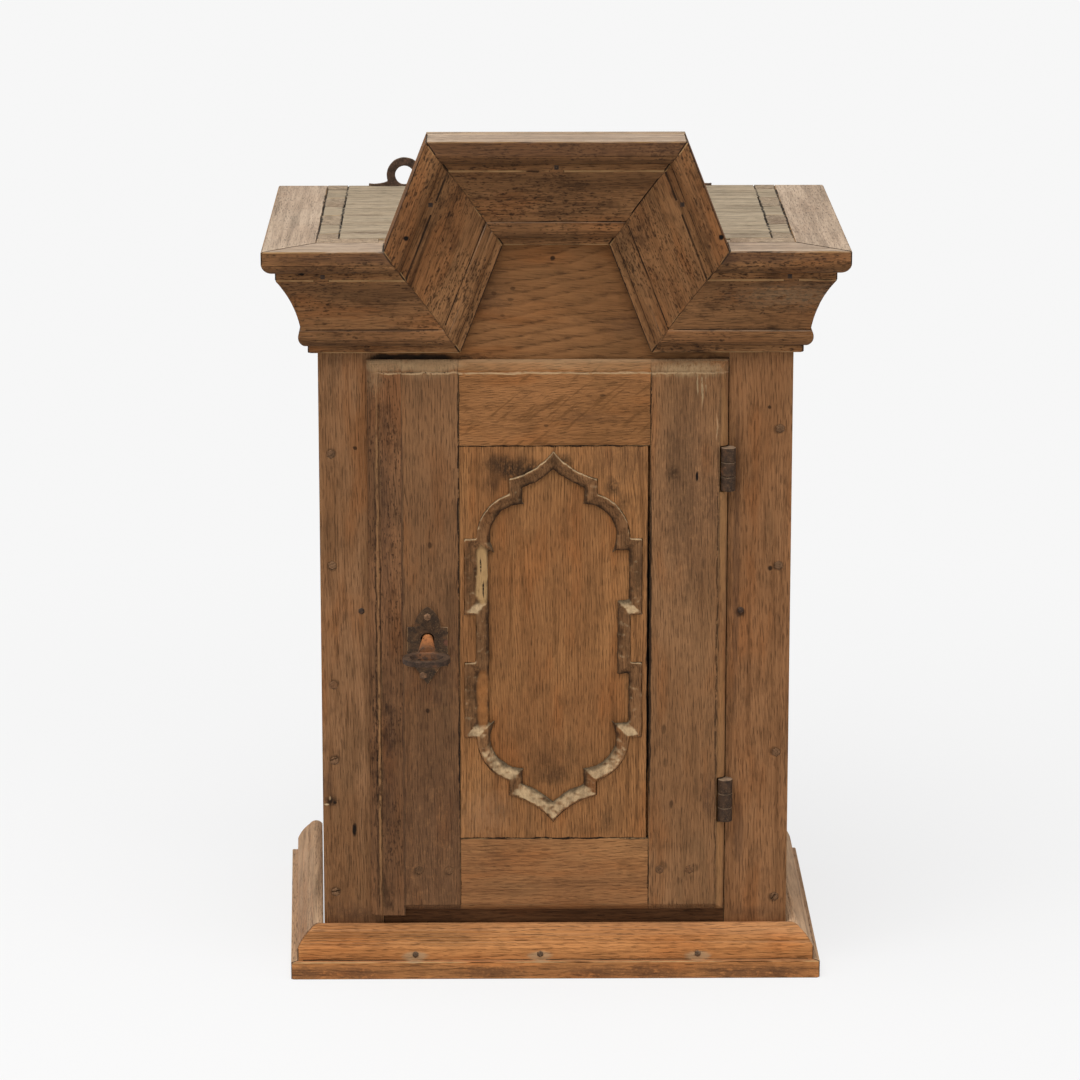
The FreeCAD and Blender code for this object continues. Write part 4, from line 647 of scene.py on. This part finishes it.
# Door panel and its cartouche: a flush oak panel with a sunk field, framed by mitred lengths of a small
# sloped moulding. The panel has shrunk away from the right stile; two laths at the left are a repair.
smoke = tone(0.17, 0.125, 0.085)
panel_marks = [
    on_front(-44, 503, 17, 14, 1.0, smoke), on_front(-25, 502, 16, 11, 1.0, smoke),
    on_front(-58, 509, 12, 9, 0.8, smoke), on_front(-62, 488, 9, 10, 0.5, smoke),
    on_front(8, 511, 9, 9, 0.85, smoke), on_front(54, 485, 8, 11, 0.8, smoke),
    on_front(63, 468, 7, 9, 0.6, smoke), on_front(50, 152, 9, 14, 0.5, smoke),
    on_front(30, 145, 12, 8, 0.4, smoke), on_front(-52, 165, 9, 8, 0.45, smoke),
    on_front(-2, 210, 40, 26, 0.35, smoke), on_front(-2, 196, 16, 9, 0.45, smoke),
    on_front(66, 512, 36, 26, 0.4, PLUM), on_front(-68, 160, 30, 30, 0.3, tone(0.66, 0.50, 0.36)),
    on_front(88.6, 330, 1.7, 200, 1.0, CRACK)] + rail_joints
panel_finish = oak("door_panel_oak", UPRIGHT, (-330, -120), tone(0.61, 0.425, 0.26), tone(0.52, 0.35, 0.21),
                   tone(0.39, 0.255, 0.145), rise=0.03, streak=0.95, ring=0.9, rubbed_highlight=0.2,
                   marks=panel_marks)
staff_low, staff_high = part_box("panel_moulding")
under_staff = ([share - MM for share in staff_low], [share + MM for share in staff_high])
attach(worn_copy("door_panel", panel_finish, 0.0009, covered=under_staff), "door")


def carved_copy(node, finish, fine, soft, size=0.006, depth=0.0003):
    """A piece cut with gouge or file, in metres: its CAD node's form with every edge softened and the
    surface uneven. fine is the least detail kept, and soft how often the edges are eased."""
    piece = copy_of(node, finish)
    bpy.ops.object.mode_set(mode="OBJECT")
    carve = piece.modifiers.new("carve", "REMESH")
    carve.mode = "VOXEL"
    carve.voxel_size = fine
    soften = piece.modifiers.new("soften", "SMOOTH")
    soften.factor = 0.5
    soften.iterations = soft
    uneven(piece, size, depth, level=0.6)
    thin = piece.modifiers.new("thin", "DECIMATE")
    thin.ratio = 0.5
    apply_all(piece)
    bpy.ops.object.shade_smooth()
    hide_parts(node)
    return piece


staff_depth = (staff_high[1] - staff_low[1]) * PER_METRE
# Painted shade: the moulding darkens towards the panel that it stands on.
staff_foot_shade = ((0, staff_high[1] * PER_METRE, 320), (900, staff_depth * 0.55, 900), 0.75, SOOT_AND_SHADE)
wormed = tone(0.26, 0.185, 0.115)
upper_lath = [on_proud(-70.5, z, 6.4, 16, 1.0, tone(0.64, 0.51, 0.345)) for z in (383, 398, 414)]
lower_lath = [on_proud(-70, z, 6.4, 16, 0.7, tone(0.57, 0.375, 0.21)) for z in (260, 275, 290)]
staff_marks = [staff_foot_shade] + upper_lath + lower_lath + [
    on_proud(-72, 408, 0.9, 9, 1.0, CRACK), on_proud(-68.5, 384, 0.8, 10, 1.0, CRACK),
    on_proud(-83, 402, 7, 34, 0.6, wormed), on_proud(-83, 272, 7, 34, 0.6, wormed),
    on_proud(79, 400, 8, 26, 0.7, wormed), on_proud(-55, 487, 9, 9, 0.5, wormed),
    on_proud(46, 486, 9, 7, 0.5, wormed), on_proud(-2, 512, 7, 10, 0.5, wormed)]
moulding_finish = oak("panel_moulding_oak", UPRIGHT, (-250, -60), tone(0.54, 0.385, 0.25),
                      tone(0.45, 0.31, 0.195), tone(0.31, 0.21, 0.13), dust=0.98, dust_from=0.05,
                      dust_tone=tone(0.74, 0.63, 0.48), dirt=0.5, marks=staff_marks)
moulding = carved_copy("panel_moulding", moulding_finish, fine=0.0008, soft=12, size=0.007,
                       depth=0.0020)
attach(moulding, "door")


# Hinges: a pair of forged butts, black with age, their leaves let into the stiles and nailed. Each
# barrel is three knuckles closed over a pin.
def iron(name, light, mid, dark, rust, rusty, marks=(), dusty=0.25):
    """Old forged iron: a dark skin with scale, pitting and patches of rust."""
    finish, shader, place, normal = start_finish(name)
    spot = place.vector("MULTIPLY", (PER_METRE, PER_METRE, PER_METRE))
    scale = spot.noise(0.16, 0.16, 4, 0.6)
    pits = spot.noise(0.7, 0.7, 3, 0.6)
    patch = spot.noise(0.08, 0.08, 4, 0.65)
    skin = scale.step(0.35, 0.65).blend(dark, mid)
    skin = (pits.step(0.55, 0.72) * 0.6).blend(skin, light)
    skin = (pits.step(0.45, 0.30) * 0.6).blend(skin, tinted(dark, 0.4, 0.4, 0.4))
    skin = (patch.step(0.62 - 0.3 * rusty, 0.72 - 0.2 * rusty) * (0.4 + 0.6 * pits)).blend(skin, rust)
    worn = place.node("ShaderNodeAttribute", {"attribute_name": "worn"}, {}, 2)
    rim = worn.step(BARE - 0.8, BARE - 0.2)
    skin = (rim * scale.step(0.36, 0.56) * 0.8).blend(skin, tinted(light, 1.5, 1.45, 1.35))
    skin = stained(skin, place, scale, marks)
    lying = normal.part(2).step(0.3, 0.9) * scale.step(0.2, 0.6) * dusty
    skin = lying.blend(skin, tone(0.62, 0.52, 0.42))
    feed(shader, "Base Color", skin)
    feed(shader, "Roughness", 0.50 + 0.3 * scale)
    relief = 0.6 * scale + 0.5 * pits
    bump = relief.node("ShaderNodeBump", {}, {"Height": relief, "Strength": 0.6, "Distance": 0.0008})
    feed(shader, "Normal", bump)
    shader.inputs["Metallic"].default_value = 0.2
    shader.inputs["Specular IOR Level"].default_value = 0.22
    return finish


black_iron = iron("hinge_iron", tone(0.46, 0.35, 0.255), tone(0.28, 0.20, 0.138), tone(0.18, 0.125, 0.083),
                  tone(0.42, 0.26, 0.15), 0.15, dusty=0.8)
for height in ("upper", "lower"):
    for side, body in (("frame", "carcass"), ("door", "door")):
        leaf = "hinge_%s_leaf_%s" % (side, height)
        piece = carved_copy(leaf, black_iron, fine=0.0005, soft=4, size=0.004, depth=0.0005)
        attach(piece, body)


def refinish(node, finish):
    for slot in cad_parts[node].material_slots:
        slot.material = finish


for node in ("hinge_pins", "hinge_frame_nails", "hinge_door_nails"):
    refinish(node, black_iron)

# Lock: a thin iron plate with a domed point over a keyhole, held by two round-headed nails, and behind the
# door a nailed iron case with its bolt and leaf spring.
rust_spot = on_front(-104, 333, 4, 4, 0.6, tone(0.43, 0.26, 0.19))
plate_iron = iron("lock_plate_iron", tone(0.45, 0.35, 0.24), tone(0.295, 0.212, 0.138),
                  tone(0.19, 0.135, 0.088), tone(0.38, 0.25, 0.15), 0.15, (rust_spot,))
plate = worn_copy("escutcheon", plate_iron, 0.0005, shortest=0.002, wear=0.0003)
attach(plate, "door")
rivet_iron = iron("plate_nail_iron", tone(0.64, 0.49, 0.36), tone(0.52, 0.385, 0.275),
                  tone(0.36, 0.26, 0.18), tone(0.52, 0.33, 0.20), 0.4)
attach(carved_copy("escutcheon_nails", rivet_iron, fine=0.0003, soft=2), "door")
for node in ("lock_case", "lock_nails", "lock_spring", "lock_bolt"):
    refinish(node, plate_iron)

# Key: one forged piece with a swelling neck and a flat oval bow, rusted orange where it leaves the lock and
# brown with handling at the bow.
neck_rust = ((-122.7, -138, 338), (18, 44, 26), 1.0, tone(0.735, 0.47, 0.275))
key_iron = iron("key_rust", tone(0.40, 0.31, 0.24), tone(0.275, 0.20, 0.15), tone(0.18, 0.13, 0.095),
                tone(0.38, 0.245, 0.15), 0.2, (neck_rust,), 0.06)
key = carved_copy("key", key_iron, fine=0.0004, soft=3, size=0.004, depth=0.0005)
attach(key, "key")

# Hanging lugs: two forged plates let into the top of the back and nailed, each with an eye that stands
# above the box for a hook in the wall.
lug_iron = iron("lug_iron", tone(0.44, 0.34, 0.27), tone(0.31, 0.235, 0.185), tone(0.20, 0.15, 0.115),
                tone(0.40, 0.25, 0.15), 0.3)
for node in ("hanging_lug_left", "hanging_lug_right"):
    lug = carved_copy(node, lug_iron, fine=0.0006, soft=4, size=0.005, depth=0.0005)
    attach(lug, "carcass")

# Pegs and nails: riven oak pegs driven flush and forged nails, darkened and half sunk. Three of the pegs at
# the front have been replaced by screws with a hand-filed slot.
FRAME_FACE = -0.112
peg_finish = oak("peg_oak", BACK_TO_FRONT, (-20, -40), tone(0.51, 0.38, 0.27), tone(0.44, 0.32, 0.225),
                 tone(0.28, 0.20, 0.135), dust=0)
frame_pegs = carved_copy("frame_pegs", peg_finish, fine=0.0006, soft=3)
for x, z, lean in ((-213.5, 213.9, 70), (-213.5, 79.8, 80), (212, 72.1, 35)):
    bpy.ops.object.select_all(action="DESELECT")
    bpy.ops.mesh.primitive_cube_add(size=MM, location=(x * MM, FRAME_FACE, z * MM),
                                    rotation=(0, math.radians(lean), 0), scale=(1.3, 3, 9))
    file_edge = bpy.context.object
    bpy.ops.object.transform_apply(location=True, rotation=True, scale=True)
    filed = frame_pegs.modifiers.new("filed", "BOOLEAN")
    filed.object = file_edge
    apply_all(frame_pegs)
    bpy.data.objects.remove(file_edge)
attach(frame_pegs, "carcass")
door_peg_finish = oak("door_peg_oak", BACK_TO_FRONT, (-20, -40), tone(0.46, 0.33, 0.225),
                      tone(0.41, 0.29, 0.195), tone(0.28, 0.20, 0.135), dust=0)
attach(carved_copy("door_pegs", door_peg_finish, fine=0.0006, soft=3), "door")
nail_iron = iron("nail_iron", tone(0.40, 0.31, 0.24), tone(0.25, 0.185, 0.14), tone(0.15, 0.11, 0.085),
                 tone(0.40, 0.25, 0.15), 0.3)
dusty_nail = iron("base_nail_iron", tone(0.58, 0.48, 0.38), tone(0.44, 0.345, 0.26), tone(0.29, 0.22, 0.16),
                  tone(0.45, 0.30, 0.19), 0.3)
for node, finish in (("shelf_nails", nail_iron), ("base_nails", dusty_nail)):
    nails = carved_copy(node, finish, fine=0.0004, soft=3, size=0.003, depth=0.0004)
    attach(nails, "carcass")
for node in ("lug_nails", "cornice_nails", "back_nails", "batten_nails"):
    refinish(node, nail_iron)

# Studio: a white paper floor that runs into a white ground, one broad soft light from above and in
# front, and a weaker one from each side. The camera stands where the photograph's edges put it.
PAPER = tone(0.968, 0.968, 0.968)
bpy.context.scene.view_settings.view_transform = "Standard"
bpy.ops.object.select_all(action="DESELECT")
bpy.ops.mesh.primitive_plane_add(size=40, location=(0, 0, 0))
floor = bpy.context.object
floor.name = "paper_floor"
paper, paper_shader, paper_place, _ = start_finish("white_paper")
floor.data.materials.append(paper)
paper_shader.inputs["Base Color"].default_value = (0.82, 0.82, 0.82, 1)
paper_shader.inputs["Roughness"].default_value = 0.9
paper_shader.inputs["Specular IOR Level"].default_value = 0.0
seen = Field(paper.node_tree.nodes.new("ShaderNodeLightPath").outputs["Is Camera Ray"])
glow = seen.node("ShaderNodeEmission", {}, {"Color": PAPER, "Strength": 1.0})
glow_share = 0.80 + 0.20 * paper_place.vector("LENGTH", output=1).step(0.5, 1.6)
paper_mix = seen.node("ShaderNodeMixShader", {},
                      {0: seen * glow_share, 1: Field(paper_shader.outputs[0]), 2: glow})
paper.node_tree.links.new(paper_mix.socket, paper.node_tree.nodes["Material Output"].inputs["Surface"])

ground = bpy.data.worlds.new("white_ground")
bpy.context.scene.world = ground
ground.use_nodes = True
rays = ground.node_tree.nodes.new("ShaderNodeLightPath")
shown = Field(rays.outputs["Is Camera Ray"])
for kind in ("Is Glossy Ray", "Is Transmission Ray"):
    shown = shown + Field(rays.outputs[kind])
shown = shown.least(1.0)
sky_light = shown.node("ShaderNodeBackground", {}, {"Color": (1, 1, 1, 1), "Strength": 0.45})
sky_seen = shown.node("ShaderNodeBackground", {}, {"Color": PAPER, "Strength": 1.0})
sky_mix = shown.node("ShaderNodeMixShader", {}, {0: shown, 1: sky_light, 2: sky_seen})
ground.node_tree.links.new(sky_mix.socket, ground.node_tree.nodes["World Output"].inputs["Surface"])


def soft_light(name, at, size, watts):
    """A square lamp that looks at the middle of the cabinet."""
    lamp = bpy.data.lights.new(name, "AREA")
    lamp.shape = "SQUARE"
    lamp.size = size
    lamp.energy = watts
    holder = bpy.data.objects.new(name, lamp)
    bpy.context.scene.collection.objects.link(holder)
    holder.location = at
    holder.rotation_euler = (Vector((0, 0, 0.4)) - Vector(at)).to_track_quat("-Z", "Y").to_euler()


soft_light("top_light", (-0.4, -1.1, 3.2), 2.4, 105)
soft_light("left_light", (-3.0, -2.2, 1.6), 1.8, 16)
soft_light("right_light", (3.0, -2.4, 1.4), 1.8, 16)

CAMERA_AT = (-0.0605, -4.2806, 1.4677)
CAMERA_DIP = 13.959
CAMERA_SWING = 0.627
lens = bpy.data.cameras.new("camera")
lens.sensor_width = 36
lens.lens = 149.94
camera = bpy.data.objects.new("camera", lens)
bpy.context.scene.collection.objects.link(camera)
camera.location = CAMERA_AT
camera.rotation_euler = (math.radians(90 - CAMERA_DIP), 0, -math.radians(CAMERA_SWING))
bpy.context.scene.camera = camera
